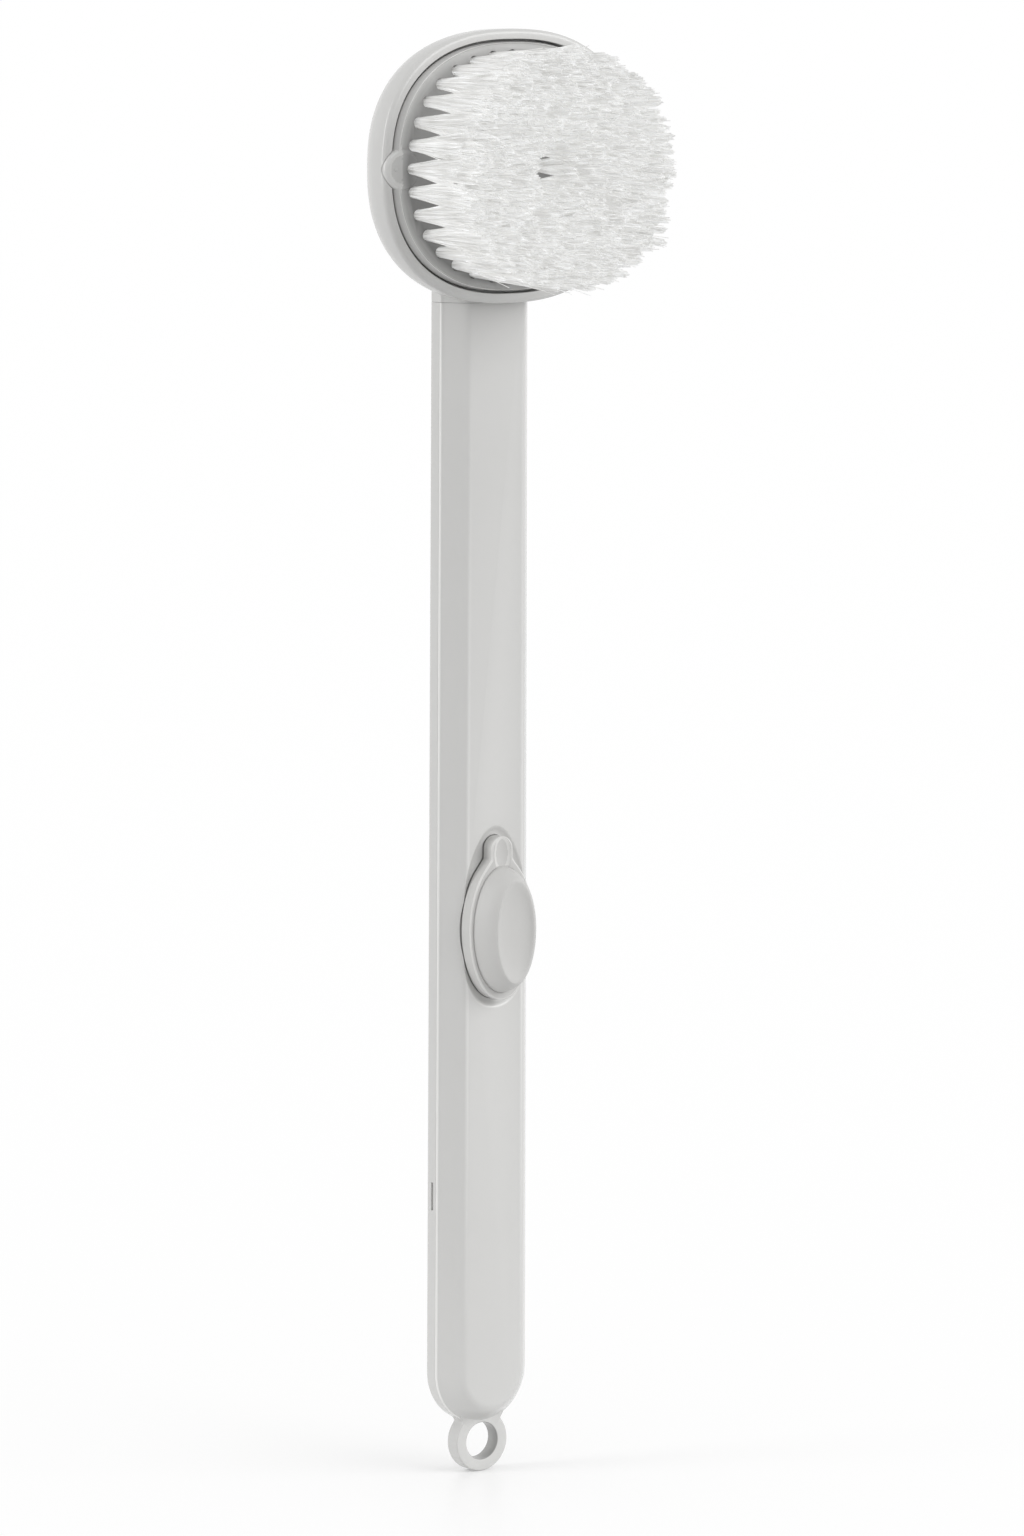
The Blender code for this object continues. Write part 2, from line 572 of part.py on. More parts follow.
def build_head_housing():
    """Cup of the head with its neck block, plate seat, feed groove and screw holes."""
    rings = []
    for index in range(CUP_LIP_STEPS + 1):
        angle = math.pi / 2 * index / CUP_LIP_STEPS
        inset = CUP_LIP_ROUNDING * (1 - math.sin(angle))
        depth = LIP_Y + CUP_LIP_ROUNDING * (1 - math.cos(angle))
        rings.append(oval(*cup_sizes(inset), depth, HEAD_CENTRE, CUP_STEPS, CUP_EXPONENT))
    back_start = LIP_Y + CUP_STRAIGHT
    for index in range(CUP_BACK_STEPS + 1):
        angle = math.pi / 2 * index / CUP_BACK_STEPS
        inset = CUP_BACK_INSET * (1 - math.cos(angle))
        depth = back_start + (CUP_BACK_Y - back_start) * math.sin(angle)
        rings.append(oval(*cup_sizes(inset), depth, HEAD_CENTRE, CUP_STEPS, CUP_EXPONENT))
    cup = object_from(loft(rings), "head_housing", WARM_GREY, 0.42)

    neck = object_from(loft([
        handle_section(0.0, FRONT_DEPTH, BACK_Y, HEAD_SEAM),
        handle_section(0.0, FRONT_DEPTH, BACK_Y, HEAD_SEAM + NECK_BLOCK_HEIGHT),
    ]), "neck_block")
    opening = (CUP_OPENING_HALF_WIDTH, CUP_OPENING_HALF_HEIGHT)
    seat = object_from(loft([
        oval(*opening, LIP_Y - CUT_OVERRUN, HEAD_CENTRE, CUP_STEPS, CUP_EXPONENT),
        oval(*opening, CUP_FLOOR_Y, HEAD_CENTRE, CUP_STEPS, CUP_EXPONENT),
    ]), "plate_seat_cutter")
    socket = object_from(loft([
        handle_section(SHELL_WALL, FRONT_DEPTH - FACE_WALL, INNER_BACK_Y, HEAD_SEAM - CUT_OVERRUN),
        handle_section(SHELL_WALL, FRONT_DEPTH - FACE_WALL, INNER_BACK_Y, SOCKET_TOP),
    ]), "socket_cutter")
    elbow_rear = CUP_FLOOR_Y + ELBOW_DEPTH + SEAT_GAP
    pocket = object_from(rod(
        (0.0, CUP_FLOOR_Y - CUT_OVERRUN, HEAD_CENTRE), (0.0, elbow_rear, HEAD_CENTRE),
        ELBOW_RADIUS + SEAT_GAP,
    ), "elbow_pocket_cutter")
    groove = object_from(block(
        (-GROOVE_HALF_WIDTH, CUP_FLOOR_Y - CUT_OVERRUN, SOCKET_TOP - CUT_OVERRUN),
        (GROOVE_HALF_WIDTH, FEED_Y + GROOVE_HALF_WIDTH, HEAD_CENTRE),
    ), "feed_groove_cutter")
    ears = bmesh.new()
    head_holes = bmesh.new()
    shank_holes = bmesh.new()
    screw_height = HEAD_SEAM + SCREW_HEIGHT_ABOVE_SEAM
    for sign in (-1, 1):
        ear_x, screw_x = sign * EAR_CENTRE_X, sign * SCREW_SPACING / 2
        add_rod(ears, (ear_x, LIP_Y - CUT_OVERRUN, HEAD_CENTRE),
                (ear_x, EAR_FRONT_Y + EAR_DEPTH + SEAT_GAP, HEAD_CENTRE), EAR_RADIUS + SEAT_GAP, EAR_STEPS)
        add_rod(head_holes, (screw_x, CUP_FLOOR_Y - CUT_OVERRUN, screw_height),
                (screw_x, CUP_FLOOR_Y + SCREW_HEAD_HEIGHT + SEAT_GAP, screw_height),
                SCREW_HEAD_RADIUS + SEAT_GAP, SCREW_HOLE_STEPS)
        add_rod(shank_holes, (screw_x, CUP_FLOOR_Y - CUT_OVERRUN, screw_height),
                (screw_x, INNER_FACE_Y + CUT_OVERRUN, screw_height),
                SCREW_SHANK_RADIUS + SEAT_GAP, SCREW_HOLE_STEPS)
    join(cup, neck)
    cut(cup, socket, seat, object_from(ears, "ear_notch_cutter"), pocket, groove,
        object_from(head_holes, "screw_head_cutter"), object_from(shank_holes, "screw_shank_cutter"))
    return cup


def build_neck_plug():
    """Plug that closes the reservoir, joins handle and head, and carries the spigot."""
    inset = SHELL_WALL + SEAT_GAP
    front_depth = FRONT_DEPTH - FACE_WALL - SEAT_GAP
    rear = INNER_BACK_Y - SEAT_GAP
    seal_low = NECK_PLUG_LOW + NECK_SEAL_OFFSET
    seal_top = seal_low + NECK_SEAL_WIDTH
    core = (inset + NECK_SEAL_DEPTH, front_depth - NECK_SEAL_DEPTH, rear - NECK_SEAL_DEPTH)
    plug = object_from(loft([
        handle_section(inset, front_depth, rear, NECK_PLUG_LOW),
        handle_section(inset, front_depth, rear, seal_low),
        handle_section(*core, seal_low),
        handle_section(*core, seal_top),
        handle_section(inset, front_depth, rear, seal_top),
        handle_section(inset, front_depth, rear, NECK_PLUG_TOP),
    ]), "neck_plug", DEEP_GREY, 0.5)
    spigot = object_from(rod(
        (0.0, FEED_Y, NECK_PLUG_TOP - CUT_OVERRUN), (0.0, FEED_Y, NECK_PLUG_TOP + SPIGOT_LENGTH),
        SPIGOT_RADIUS,
    ), "neck_spigot")
    bore = object_from(rod(
        (0.0, FEED_Y, NECK_PLUG_LOW - CUT_OVERRUN),
        (0.0, FEED_Y, NECK_PLUG_TOP + SPIGOT_LENGTH + CUT_OVERRUN), FEED_BORE_RADIUS, ROUND_STEPS // 2,
    ), "neck_bore_cutter")
    join(plug, spigot)
    cut(plug, bore)
    pilots = bmesh.new()
    screw_height = HEAD_SEAM + SCREW_HEIGHT_ABOVE_SEAM
    for sign in (-1, 1):
        screw_x = sign * SCREW_SPACING / 2
        add_rod(pilots, (screw_x, INNER_FACE_Y - CUT_OVERRUN, screw_height),
                (screw_x, CUP_FLOOR_Y + SCREW_HEAD_HEIGHT + SCREW_SHANK_LENGTH + SEAT_GAP, screw_height),
                SCREW_SHANK_RADIUS + SEAT_GAP, SCREW_HOLE_STEPS)
    cut(plug, object_from(pilots, "screw_pilot_cutter"))

    bed = (core[0] - SEAT_GAP, core[1] + SEAT_GAP, core[2] + SEAT_GAP)
    seal = object_from(loft([
        handle_section(inset, front_depth, rear, seal_low + SEAT_GAP),
        handle_section(inset, front_depth, rear, seal_top - SEAT_GAP),
        handle_section(*bed, seal_top - SEAT_GAP),
        handle_section(*bed, seal_low + SEAT_GAP),
    ], closed=True), "neck_seal", DARK_SEAL, 0.6)
    return plug, seal


def build_feed():
    """Elbow behind the outlet, the tube from the neck's spigot, and the boss seal."""
    elbow = object_from(rod(
        (0.0, CUP_FLOOR_Y + ELBOW_DEPTH, HEAD_CENTRE), (0.0, CUP_FLOOR_Y, HEAD_CENTRE),
        ELBOW_RADIUS, ELBOW_STEPS,
    ), "feed_elbow", DEEP_GREY, 0.5)
    boss_front = CUP_FLOOR_Y - ELBOW_BOSS_LENGTH
    boss = object_from(rod(
        (0.0, CUP_FLOOR_Y + CUT_OVERRUN, HEAD_CENTRE), (0.0, boss_front, HEAD_CENTRE), ELBOW_BOSS_RADIUS,
    ), "elbow_boss")
    barb_low = ELBOW_LOW - BARB_LENGTH
    barb = object_from(rod(
        (0.0, FEED_Y, HEAD_CENTRE), (0.0, FEED_Y, barb_low), SPIGOT_RADIUS,
    ), "elbow_barb")
    front_bore = object_from(rod(
        (0.0, FEED_Y + FEED_BORE_OVERLAP, HEAD_CENTRE), (0.0, boss_front - CUT_OVERRUN, HEAD_CENTRE),
        FEED_BORE_RADIUS, ROUND_STEPS // 2,
    ), "elbow_front_bore_cutter")
    low_bore = object_from(rod(
        (0.0, FEED_Y, HEAD_CENTRE + FEED_BORE_OVERLAP), (0.0, FEED_Y, barb_low - CUT_OVERRUN),
        FEED_BORE_RADIUS, ROUND_STEPS // 2,
    ), "elbow_low_bore_cutter")
    join(elbow, boss, barb)
    cut(elbow, front_bore, low_bore)

    tube_low = NECK_PLUG_TOP + TUBE_END_GAP
    tube_top = ELBOW_LOW - TUBE_END_GAP
    tube = object_from(rod(
        (0.0, FEED_Y, tube_low), (0.0, FEED_Y, tube_top), TUBE_RADIUS,
    ), "feed_tube", CLEAR_SILICONE, 0.35)
    tube_bore = object_from(rod(
        (0.0, FEED_Y, tube_low - CUT_OVERRUN), (0.0, FEED_Y, tube_top + CUT_OVERRUN), TUBE_BORE_RADIUS,
    ), "tube_bore_cutter")
    cut(tube, tube_bore)

    seal_rear = CUP_FLOOR_Y - BOSS_SEAL_OFFSET
    seal_front = seal_rear - BOSS_SEAL_WIDTH
    inner = ELBOW_BOSS_RADIUS + SEAT_GAP
    turned("boss_seal", [
        (inner, seal_front), (VALVE_FLANGE_RADIUS, seal_front), (VALVE_FLANGE_RADIUS, seal_rear),
        (inner, seal_rear),
    ], HEAD_CENTRE, DARK_SEAL, 0.6, closed=True)
    return elbow


def build_brush_plate():
    """Snap-in plate: bead round its edge, two ears, tuft field and outlet boss."""
    edge = (PLATE_HALF_WIDTH, PLATE_HALF_HEIGHT, CUP_EXPONENT)
    field = (FIELD_HALF_WIDTH + SEAT_GAP + FIELD_LAND,
             FIELD_HALF_HEIGHT + SEAT_GAP + FIELD_LAND, TUFT_RING_EXPONENT)
    chamfer = PLATE_REAR_CHAMFER
    rings = [
        oval(edge[0] - chamfer, edge[1] - chamfer, PLATE_REAR_Y, HEAD_CENTRE, CUP_STEPS, edge[2]),
        oval(edge[0], edge[1], PLATE_REAR_Y - chamfer, HEAD_CENTRE, CUP_STEPS, edge[2]),
    ]
    for inwards, rise in PLATE_RIM_SHARES:
        depth = PLATE_EDGE_Y - FIELD_RISE * rise
        rings.append(blend_oval(edge, field, inwards, depth, HEAD_CENTRE, CUP_STEPS))
    plate = object_from(loft(rings), "brush_plate", WARM_GREY, 0.42)

    recess = object_from(loft([
        oval(FIELD_HALF_WIDTH + SEAT_GAP, FIELD_HALF_HEIGHT + SEAT_GAP, FIELD_Y - CUT_OVERRUN,
             HEAD_CENTRE, CUP_STEPS, TUFT_RING_EXPONENT),
        oval(FIELD_HALF_WIDTH + SEAT_GAP, FIELD_HALF_HEIGHT + SEAT_GAP, BACKING_REAR_Y + SEAT_GAP,
             HEAD_CENTRE, CUP_STEPS, TUFT_RING_EXPONENT),
    ]), "field_recess_cutter")
    for name, sign in (("left", -1), ("right", 1)):
        builder = rod(
            (sign * EAR_CENTRE_X, EAR_FRONT_Y + EAR_DEPTH, HEAD_CENTRE),
            (sign * EAR_CENTRE_X, EAR_FRONT_Y, HEAD_CENTRE), EAR_RADIUS, EAR_STEPS,
        )
        front = min(vertex.co.y for vertex in builder.verts)
        rim = [edge for edge in builder.edges
               if all(abs(vertex.co.y - front) < MERGE_DISTANCE for vertex in edge.verts)]
        bmesh.ops.bevel(builder, geom=rim, offset=EAR_ROUNDING, segments=EAR_ROUNDING_STEPS, profile=0.5,
                        affect="EDGES", material=-1)
        join(plate, object_from(builder, "ear_" + name))
        dimple = bmesh.new()
        bmesh.ops.create_uvsphere(
            dimple, u_segments=EAR_DIMPLE_STEPS, v_segments=EAR_DIMPLE_STEPS, radius=EAR_DIMPLE_RADIUS)
        bmesh.ops.translate(dimple, verts=dimple.verts, vec=(
            sign * (EAR_CENTRE_X + EAR_DIMPLE_OFFSET),
            EAR_FRONT_Y - EAR_DIMPLE_RADIUS + EAR_DIMPLE_DEPTH, HEAD_CENTRE))
        cut(plate, object_from(dimple, "ear_dimple_cutter_" + name))
    boss = object_from(rod(
        (0.0, BACKING_REAR_Y + CUT_OVERRUN, HEAD_CENTRE), (0.0, FIELD_Y, HEAD_CENTRE), OUTLET_BOSS_RADIUS,
    ), "outlet_boss")
    nose_bore = object_from(rod(
        (0.0, VALVE_REAR_Y, HEAD_CENTRE), (0.0, FIELD_Y - CUT_OVERRUN, HEAD_CENTRE),
        VALVE_RADIUS + SEAT_GAP,
    ), "outlet_bore_cutter")
    flange_front = FIELD_Y + VALVE_NOSE_LENGTH - SEAT_GAP
    socket_bore = object_from(rod(
        (0.0, PLATE_REAR_Y + CUT_OVERRUN, HEAD_CENTRE), (0.0, flange_front, HEAD_CENTRE),
        OUTLET_SOCKET_RADIUS,
    ), "outlet_socket_cutter")
    cut(plate, recess)
    join(plate, boss)
    cut(plate, nose_bore, socket_bore)
    return plate


def build_outlet():
    """Slit valve of the soap outlet and the ring that holds it in the plate."""
    front, shoulder = FIELD_Y, FIELD_Y + VALVE_NOSE_LENGTH
    inner = VALVE_RADIUS - VALVE_WALL
    valve = turned("outlet_valve", [
        (0.0, front), (VALVE_RADIUS, front), (VALVE_RADIUS, shoulder),
        (VALVE_FLANGE_RADIUS, shoulder), (VALVE_FLANGE_RADIUS, VALVE_REAR_Y),
        (inner, VALVE_REAR_Y), (inner, front + VALVE_WALL), (0.0, front + VALVE_WALL),
    ], HEAD_CENTRE, CLEAR_SILICONE, 0.4)
    for name, half_x, half_z in (
        ("across", VALVE_SLIT_LENGTH / 2, VALVE_SLIT_WIDTH / 2),
        ("upright", VALVE_SLIT_WIDTH / 2, VALVE_SLIT_LENGTH / 2),
    ):
        cut(valve, object_from(block(
            (-half_x, front - CUT_OVERRUN, HEAD_CENTRE - half_z),
            (half_x, front + VALVE_WALL + SEAT_GAP, HEAD_CENTRE + half_z),
        ), "valve_slit_cutter_" + name))
    ring_front = VALVE_REAR_Y + SEAT_GAP
    retainer = turned("valve_retainer", [
        (RETAINER_BORE_RADIUS, ring_front), (VALVE_FLANGE_RADIUS, ring_front),
        (VALVE_FLANGE_RADIUS, ring_front + RETAINER_THICKNESS),
        (RETAINER_BORE_RADIUS, ring_front + RETAINER_THICKNESS),
    ], HEAD_CENTRE, DEEP_GREY, 0.5, closed=True)
    return valve, retainer


def evenly_spaced(half_width, half_height, count):
    """Return points spaced evenly along a tuft ring that is centred on the Y axis."""
    line = oval(half_width, half_height, 0.0, 0.0, CURVE_SAMPLES, TUFT_RING_EXPONENT)
    line.append(line[0])
    travelled = [0.0]
    for first, second in zip(line, line[1:]):
        travelled.append(travelled[-1] + (second - first).length)
    places = []
    index = 0
    for number in range(count):
        target = travelled[-1] * number / count
        while travelled[index + 1] < target:
            index += 1
        share = (target - travelled[index]) / (travelled[index + 1] - travelled[index])
        places.append(line[index].lerp(line[index + 1], share))
    return places


def ring_length(half_width, half_height):
    """Return the length of a tuft ring."""
    line = oval(half_width, half_height, 0.0, 0.0, CURVE_SAMPLES, TUFT_RING_EXPONENT)
    return sum((line[index] - line[index - 1]).length for index in range(CURVE_SAMPLES))


def add_tuft(builder, place, number):
    """Add one tuft: strands that spread a little from a tight root to their tips."""
    outward = Vector((place.x, 0.0, place.z))
    direction = math.atan2(place.z, place.x)
    for strand in range(STRANDS_PER_TUFT):
        angle = direction + FULL_TURN * (strand + 0.5) / STRANDS_PER_TUFT
        sideways = Vector((math.cos(angle), 0.0, math.sin(angle)))
        uneven = ((number * STRANDS_PER_TUFT + strand) * UNEVEN_STEP % UNEVEN_CYCLE) / UNEVEN_CYCLE
        length = STRAND_LENGTH - STRAND_UNEVENNESS * uneven
        root = Vector((0.0, FIELD_Y + STRAND_ROOT, HEAD_CENTRE)) + outward + sideways * TUFT_RADIUS
        tip = (Vector((0.0, FIELD_Y - length, HEAD_CENTRE)) + outward * (1 + TUFT_LEAN_SHARE)
               + sideways * TUFT_TIP_RADIUS)
        add_rod(builder, root, tip, STRAND_BASE_RADIUS, STRAND_SIDES, STRAND_TIP_RADIUS)


def build_bristle_rings():
    """Rings of tufts, each fused to its own slice of the backing."""
    rings = []
    number = 0
    for index in range(TUFT_RING_COUNT):
        half_width = TUFT_HALF_WIDTH - TUFT_RING_STEP_X * index
        half_height = TUFT_HALF_HEIGHT - TUFT_RING_STEP_Z * index
        if index == 0:
            outer = (FIELD_HALF_WIDTH, FIELD_HALF_HEIGHT)
        else:
            outer = (half_width + (TUFT_RING_STEP_X - SEAT_GAP) / 2,
                     half_height + (TUFT_RING_STEP_Z - SEAT_GAP) / 2)
        if index == TUFT_RING_COUNT - 1:
            inner = (OUTLET_BOSS_RADIUS + SEAT_GAP, OUTLET_BOSS_RADIUS + SEAT_GAP)
            inner_exponent = 2.0
        else:
            inner = (half_width - (TUFT_RING_STEP_X - SEAT_GAP) / 2,
                     half_height - (TUFT_RING_STEP_Z - SEAT_GAP) / 2)
            inner_exponent = TUFT_RING_EXPONENT
        slice_rings = [
            oval(*outer, FIELD_Y, HEAD_CENTRE, BACKING_STEPS, TUFT_RING_EXPONENT),
            oval(*outer, BACKING_REAR_Y, HEAD_CENTRE, BACKING_STEPS, TUFT_RING_EXPONENT),
            oval(*inner, BACKING_REAR_Y, HEAD_CENTRE, BACKING_STEPS, inner_exponent),
            oval(*inner, FIELD_Y, HEAD_CENTRE, BACKING_STEPS, inner_exponent),
        ]
        name = "bristle_ring_" + str(index + 1)
        ring = object_from(loft(slice_rings, closed=True), name, NYLON_WHITE, 0.55)
        count = round(ring_length(half_width, half_height) / TUFT_PITCH)
        strands = bmesh.new()
        for place in evenly_spaced(half_width, half_height, count):
            add_tuft(strands, place, number)
            number += 1
        join(ring, object_from(strands, name + "_strands"))
        rings.append(ring)
    return rings


def keyhole_half_width(height, inset):
    """Return half the plug's width at a height over its centre: oval, soft neck, round tab."""
    half_width, half_height = PLUG_HALF_WIDTH - inset, PLUG_HALF_HEIGHT - inset
    tab = TAB_HALF_WIDTH - inset
    tab_centre = TAB_REACH - TAB_HALF_WIDTH
    share = min(abs(height) / half_height, 1.0)
    oval_part = half_width * math.sqrt(1 - share * share)
    if height < half_height / 2:
        return oval_part
    above = max(height - tab_centre, 0.0)
    tab_part = math.sqrt(max(tab * tab - above * above, 0.0))
    overlap = max(TAB_FILLET - abs(oval_part - tab_part), 0.0)
    if height > tab_centre:
        overlap = 0.0
    return max(oval_part, tab_part) + overlap * overlap / (4 * TAB_FILLET)


def keyhole(inset, depth):
    """Return the plug's keyhole outline in a plane of constant Y."""
    half_height = PLUG_HALF_HEIGHT - inset
    tab = TAB_HALF_WIDTH - inset
    tab_centre = TAB_REACH - TAB_HALF_WIDTH
    heights = []
    for index in range(1, KEYHOLE_OVAL_STEPS + 1):
        angle = -math.pi / 2 + (math.pi / 2 + KEYHOLE_JOIN_ANGLE) * index / KEYHOLE_OVAL_STEPS
        heights.append(half_height * math.sin(angle))
    low = half_height * math.sin(KEYHOLE_JOIN_ANGLE)
    for index in range(1, KEYHOLE_NECK_STEPS + 1):
        heights.append(low + (tab_centre - low) * index / KEYHOLE_NECK_STEPS)
    for index in range(1, KEYHOLE_TAB_STEPS):
        heights.append(tab_centre + tab * math.sin(math.pi / 2 * index / KEYHOLE_TAB_STEPS))
    right = [(keyhole_half_width(height, inset), height) for height in heights]
    outline = [(0.0, -half_height)] + right + [(0.0, tab_centre + tab)]
    outline += [(-x, height) for x, height in reversed(right)]
    return [Vector((x, depth, PLUG_HEIGHT + height)) for x, height in outline]


def build_refill_plug():
    """Silicone plug: keyhole flange with a pull tab, a well, and a sleeve in the mouth."""
    flange_rings = [
        keyhole(PLUG_UNDERCUT, PLUG_REAR_Y),
        keyhole(PLUG_UNDERCUT / 2, PLUG_REAR_Y - PLUG_UNDERCUT / 2),
        keyhole(0.0, PLUG_REAR_Y - PLUG_UNDERCUT),
    ]
    for inwards, backwards in PLUG_EDGE_SHARES:
        flange_rings.append(keyhole(PLUG_ROUNDING * inwards, PLUG_FRONT_Y + PLUG_ROUNDING * backwards))
    plug = object_from(loft(flange_rings), "refill_plug", SOFT_GREY, 0.5)
    sleeve = object_from(loft([
        oval(SLEEVE_HALF_WIDTH, SLEEVE_HALF_HEIGHT, WELL_FLOOR_Y + WELL_FLOOR_WALL / 2,
             PLUG_HEIGHT, BUTTON_STEPS),
        oval(SLEEVE_HALF_WIDTH, SLEEVE_HALF_HEIGHT, PLUG_REAR_Y + SLEEVE_LENGTH, PLUG_HEIGHT, BUTTON_STEPS),
    ]), "plug_sleeve")
    well = object_from(loft([
        oval(WELL_HALF_WIDTH, WELL_HALF_HEIGHT, PLUG_FRONT_Y - CUT_OVERRUN, PLUG_HEIGHT, BUTTON_STEPS),
        oval(WELL_HALF_WIDTH, WELL_HALF_HEIGHT, WELL_FLOOR_Y, PLUG_HEIGHT, BUTTON_STEPS),
    ]), "button_well_cutter")
    bore = object_from(loft([
        oval(SLEEVE_HALF_WIDTH - SLEEVE_WALL, SLEEVE_HALF_HEIGHT - SLEEVE_WALL,
             PLUG_FRONT_Y - CUT_OVERRUN, PLUG_HEIGHT, BUTTON_STEPS),
        oval(SLEEVE_HALF_WIDTH - SLEEVE_WALL, SLEEVE_HALF_HEIGHT - SLEEVE_WALL,
             PLUG_REAR_Y + SLEEVE_LENGTH + CUT_OVERRUN, PLUG_HEIGHT, BUTTON_STEPS),
    ]), "plug_bore_cutter")
    dish = bmesh.new()
    bmesh.ops.create_uvsphere(
        dish, u_segments=TAB_DISH_STEPS, v_segments=TAB_DISH_STEPS, radius=TAB_DISH_RADIUS)
    bmesh.ops.translate(dish, verts=dish.verts, vec=(
        0.0, PLUG_FRONT_Y - TAB_DISH_RADIUS + TAB_DISH_DEPTH,
        PLUG_HEIGHT + TAB_REACH - TAB_HALF_WIDTH))
    join(plug, sleeve)
    cut(plug, well, bore, object_from(dish, "tab_dish_cutter"))
    return plug


def build_pump_button():
    """Silicone dome over the reservoir's mouth, dished on top and hollow underneath."""
    def sizes(inset):
        return BUTTON_HALF_WIDTH - inset, BUTTON_HALF_HEIGHT - inset

    rings = [oval(*sizes(0.0), BUTTON_REAR_Y, PLUG_HEIGHT, BUTTON_STEPS)]
    for inwards, forwards in BUTTON_SIDE_SHARES:
        depth = CREASE_Y - BUTTON_RISE * forwards
        rings.append(oval(*sizes(BUTTON_RIDGE_INSET * inwards), depth, PLUG_HEIGHT, BUTTON_STEPS))
    ridge_y = CREASE_Y - BUTTON_RISE
    ridge = sizes(BUTTON_RIDGE_INSET)
    for kept, sunk in BUTTON_DISH_SHARES:
        rings.append(oval(ridge[0] * kept, ridge[1] * kept, ridge_y + BUTTON_DISH_DEPTH * sunk,
                          PLUG_HEIGHT, BUTTON_STEPS))
    button = object_from(loft(rings), "pump_button", SOFT_GREY, 0.5)
    inner_rings = [oval(*sizes(BUTTON_WALL), BUTTON_REAR_Y + CUT_OVERRUN, PLUG_HEIGHT, BUTTON_STEPS)]
    inner_front = ridge_y + BUTTON_DISH_DEPTH + BUTTON_WALL
    inner_rise = CREASE_Y - inner_front
    for inwards, forwards in BUTTON_SIDE_SHARES:
        inset = BUTTON_WALL + BUTTON_RIDGE_INSET * inwards
        inner_rings.append(oval(*sizes(inset), CREASE_Y - inner_rise * forwards, PLUG_HEIGHT, BUTTON_STEPS))
    cut(button, object_from(loft(inner_rings), "button_hollow_cutter"))
    return button


def build_screws():
    """Two slotted screws from the cup's floor into the neck plug."""
    for name, sign in (("left", -1), ("right", 1)):
        head_front = CUP_FLOOR_Y
        head_rear = head_front + SCREW_HEAD_HEIGHT
        shank_end = head_rear + SCREW_SHANK_LENGTH
        height = HEAD_SEAM + SCREW_HEIGHT_ABOVE_SEAM
        side = sign * SCREW_SPACING / 2
        screw = turned("neck_screw_" + name, [
            (0.0, head_front), (SCREW_HEAD_RADIUS, head_front), (SCREW_HEAD_RADIUS, head_rear),
            (SCREW_SHANK_RADIUS, head_rear), (SCREW_SHANK_RADIUS, shank_end - SCREW_SHANK_RADIUS),
            (0.0, shank_end),
        ], height, STEEL, 0.3, metallic=1.0, centre_x=side)
        slot = object_from(block(
            (side - SCREW_HEAD_RADIUS - CUT_OVERRUN, head_front - CUT_OVERRUN, height - SCREW_SLOT_WIDTH / 2),
            (side + SCREW_HEAD_RADIUS + CUT_OVERRUN, head_front + SCREW_SLOT_DEPTH,
             height + SCREW_SLOT_WIDTH / 2),
        ), "screw_slot_cutter_" + name)
        cut(screw, slot)


def carry(name, place, pieces):
    """Parent moving pieces to an empty on their joint's axis, without moving them."""
    carrier = bpy.data.objects.new(name, None)
    carrier.empty_display_size = HANDLE_WIDTH_TOP
    carrier.location = place
    PARTS.objects.link(carrier)
    bpy.context.view_layer.update()
    for piece in pieces:
        piece.parent = carrier
        piece.matrix_parent_inverse = carrier.matrix_world.inverted()
    return carrier


def main():
    """Build every piece and hang the moving ones on their joints."""
    build_front_shell()
    build_back_shell()
    build_hanging_loop()
    build_head_housing()
    build_neck_plug()
    build_feed()
    build_screws()
    plate = build_brush_plate()
    valve, retainer = build_outlet()
    rings = build_bristle_rings()
    plug = build_refill_plug()
    button = build_pump_button()
    carry("brush_plate_slide", (0.0, PLATE_REAR_Y, HEAD_CENTRE), [plate, valve, retainer] + rings)
    plug_slide = carry("refill_plug_slide", (0.0, PLUG_REAR_Y, PLUG_HEIGHT), [plug])
    button_slide = carry("pump_button_slide", (0.0, BUTTON_REAR_Y, PLUG_HEIGHT), [button])
    button_slide.parent = plug_slide
    button_slide.matrix_parent_inverse = plug_slide.matrix_world.inverted()


clear_scene()
PARTS = make_collection("long_handle_brush")
CUTTERS = make_collection("cutters")
main()
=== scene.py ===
"""Long-handle cleaning brush: the dressed pieces, their finishes, the light and the camera.

Every length is in metres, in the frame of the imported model. The origin is the centre of
the loop's eye, +Z runs along the handle to the head, and the bristles point along -Y.
"""

import logging
import math
import random
from collections.abc import Callable, Mapping, Sequence
from dataclasses import dataclass, field
from enum import Enum

import bmesh
import bpy
from mathutils import Matrix, Vector


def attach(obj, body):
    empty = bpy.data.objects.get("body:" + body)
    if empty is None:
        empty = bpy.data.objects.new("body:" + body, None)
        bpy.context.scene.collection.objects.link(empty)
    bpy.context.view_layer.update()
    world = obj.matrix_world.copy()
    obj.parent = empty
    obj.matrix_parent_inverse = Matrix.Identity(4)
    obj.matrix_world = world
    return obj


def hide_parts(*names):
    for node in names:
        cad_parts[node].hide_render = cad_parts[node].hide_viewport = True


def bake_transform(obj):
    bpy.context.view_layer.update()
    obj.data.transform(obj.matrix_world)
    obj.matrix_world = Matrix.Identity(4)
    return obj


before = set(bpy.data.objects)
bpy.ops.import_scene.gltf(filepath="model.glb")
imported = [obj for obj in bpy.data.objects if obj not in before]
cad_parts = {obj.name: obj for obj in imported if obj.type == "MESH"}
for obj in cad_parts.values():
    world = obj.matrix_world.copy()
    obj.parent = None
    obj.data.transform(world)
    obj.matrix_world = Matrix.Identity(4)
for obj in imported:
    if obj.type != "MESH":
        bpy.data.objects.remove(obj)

LOG = logging.getLogger("long_handle_brush")
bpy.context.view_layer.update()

MM = 0.001
FULL_TURN = 2 * math.pi
GOLDEN_TURN = 2.399963
TOLERANCE = 1e-6
Outline = list[Vector]
Ring = list[bmesh.types.BMVert]
Profile = Sequence[tuple[float, float]]
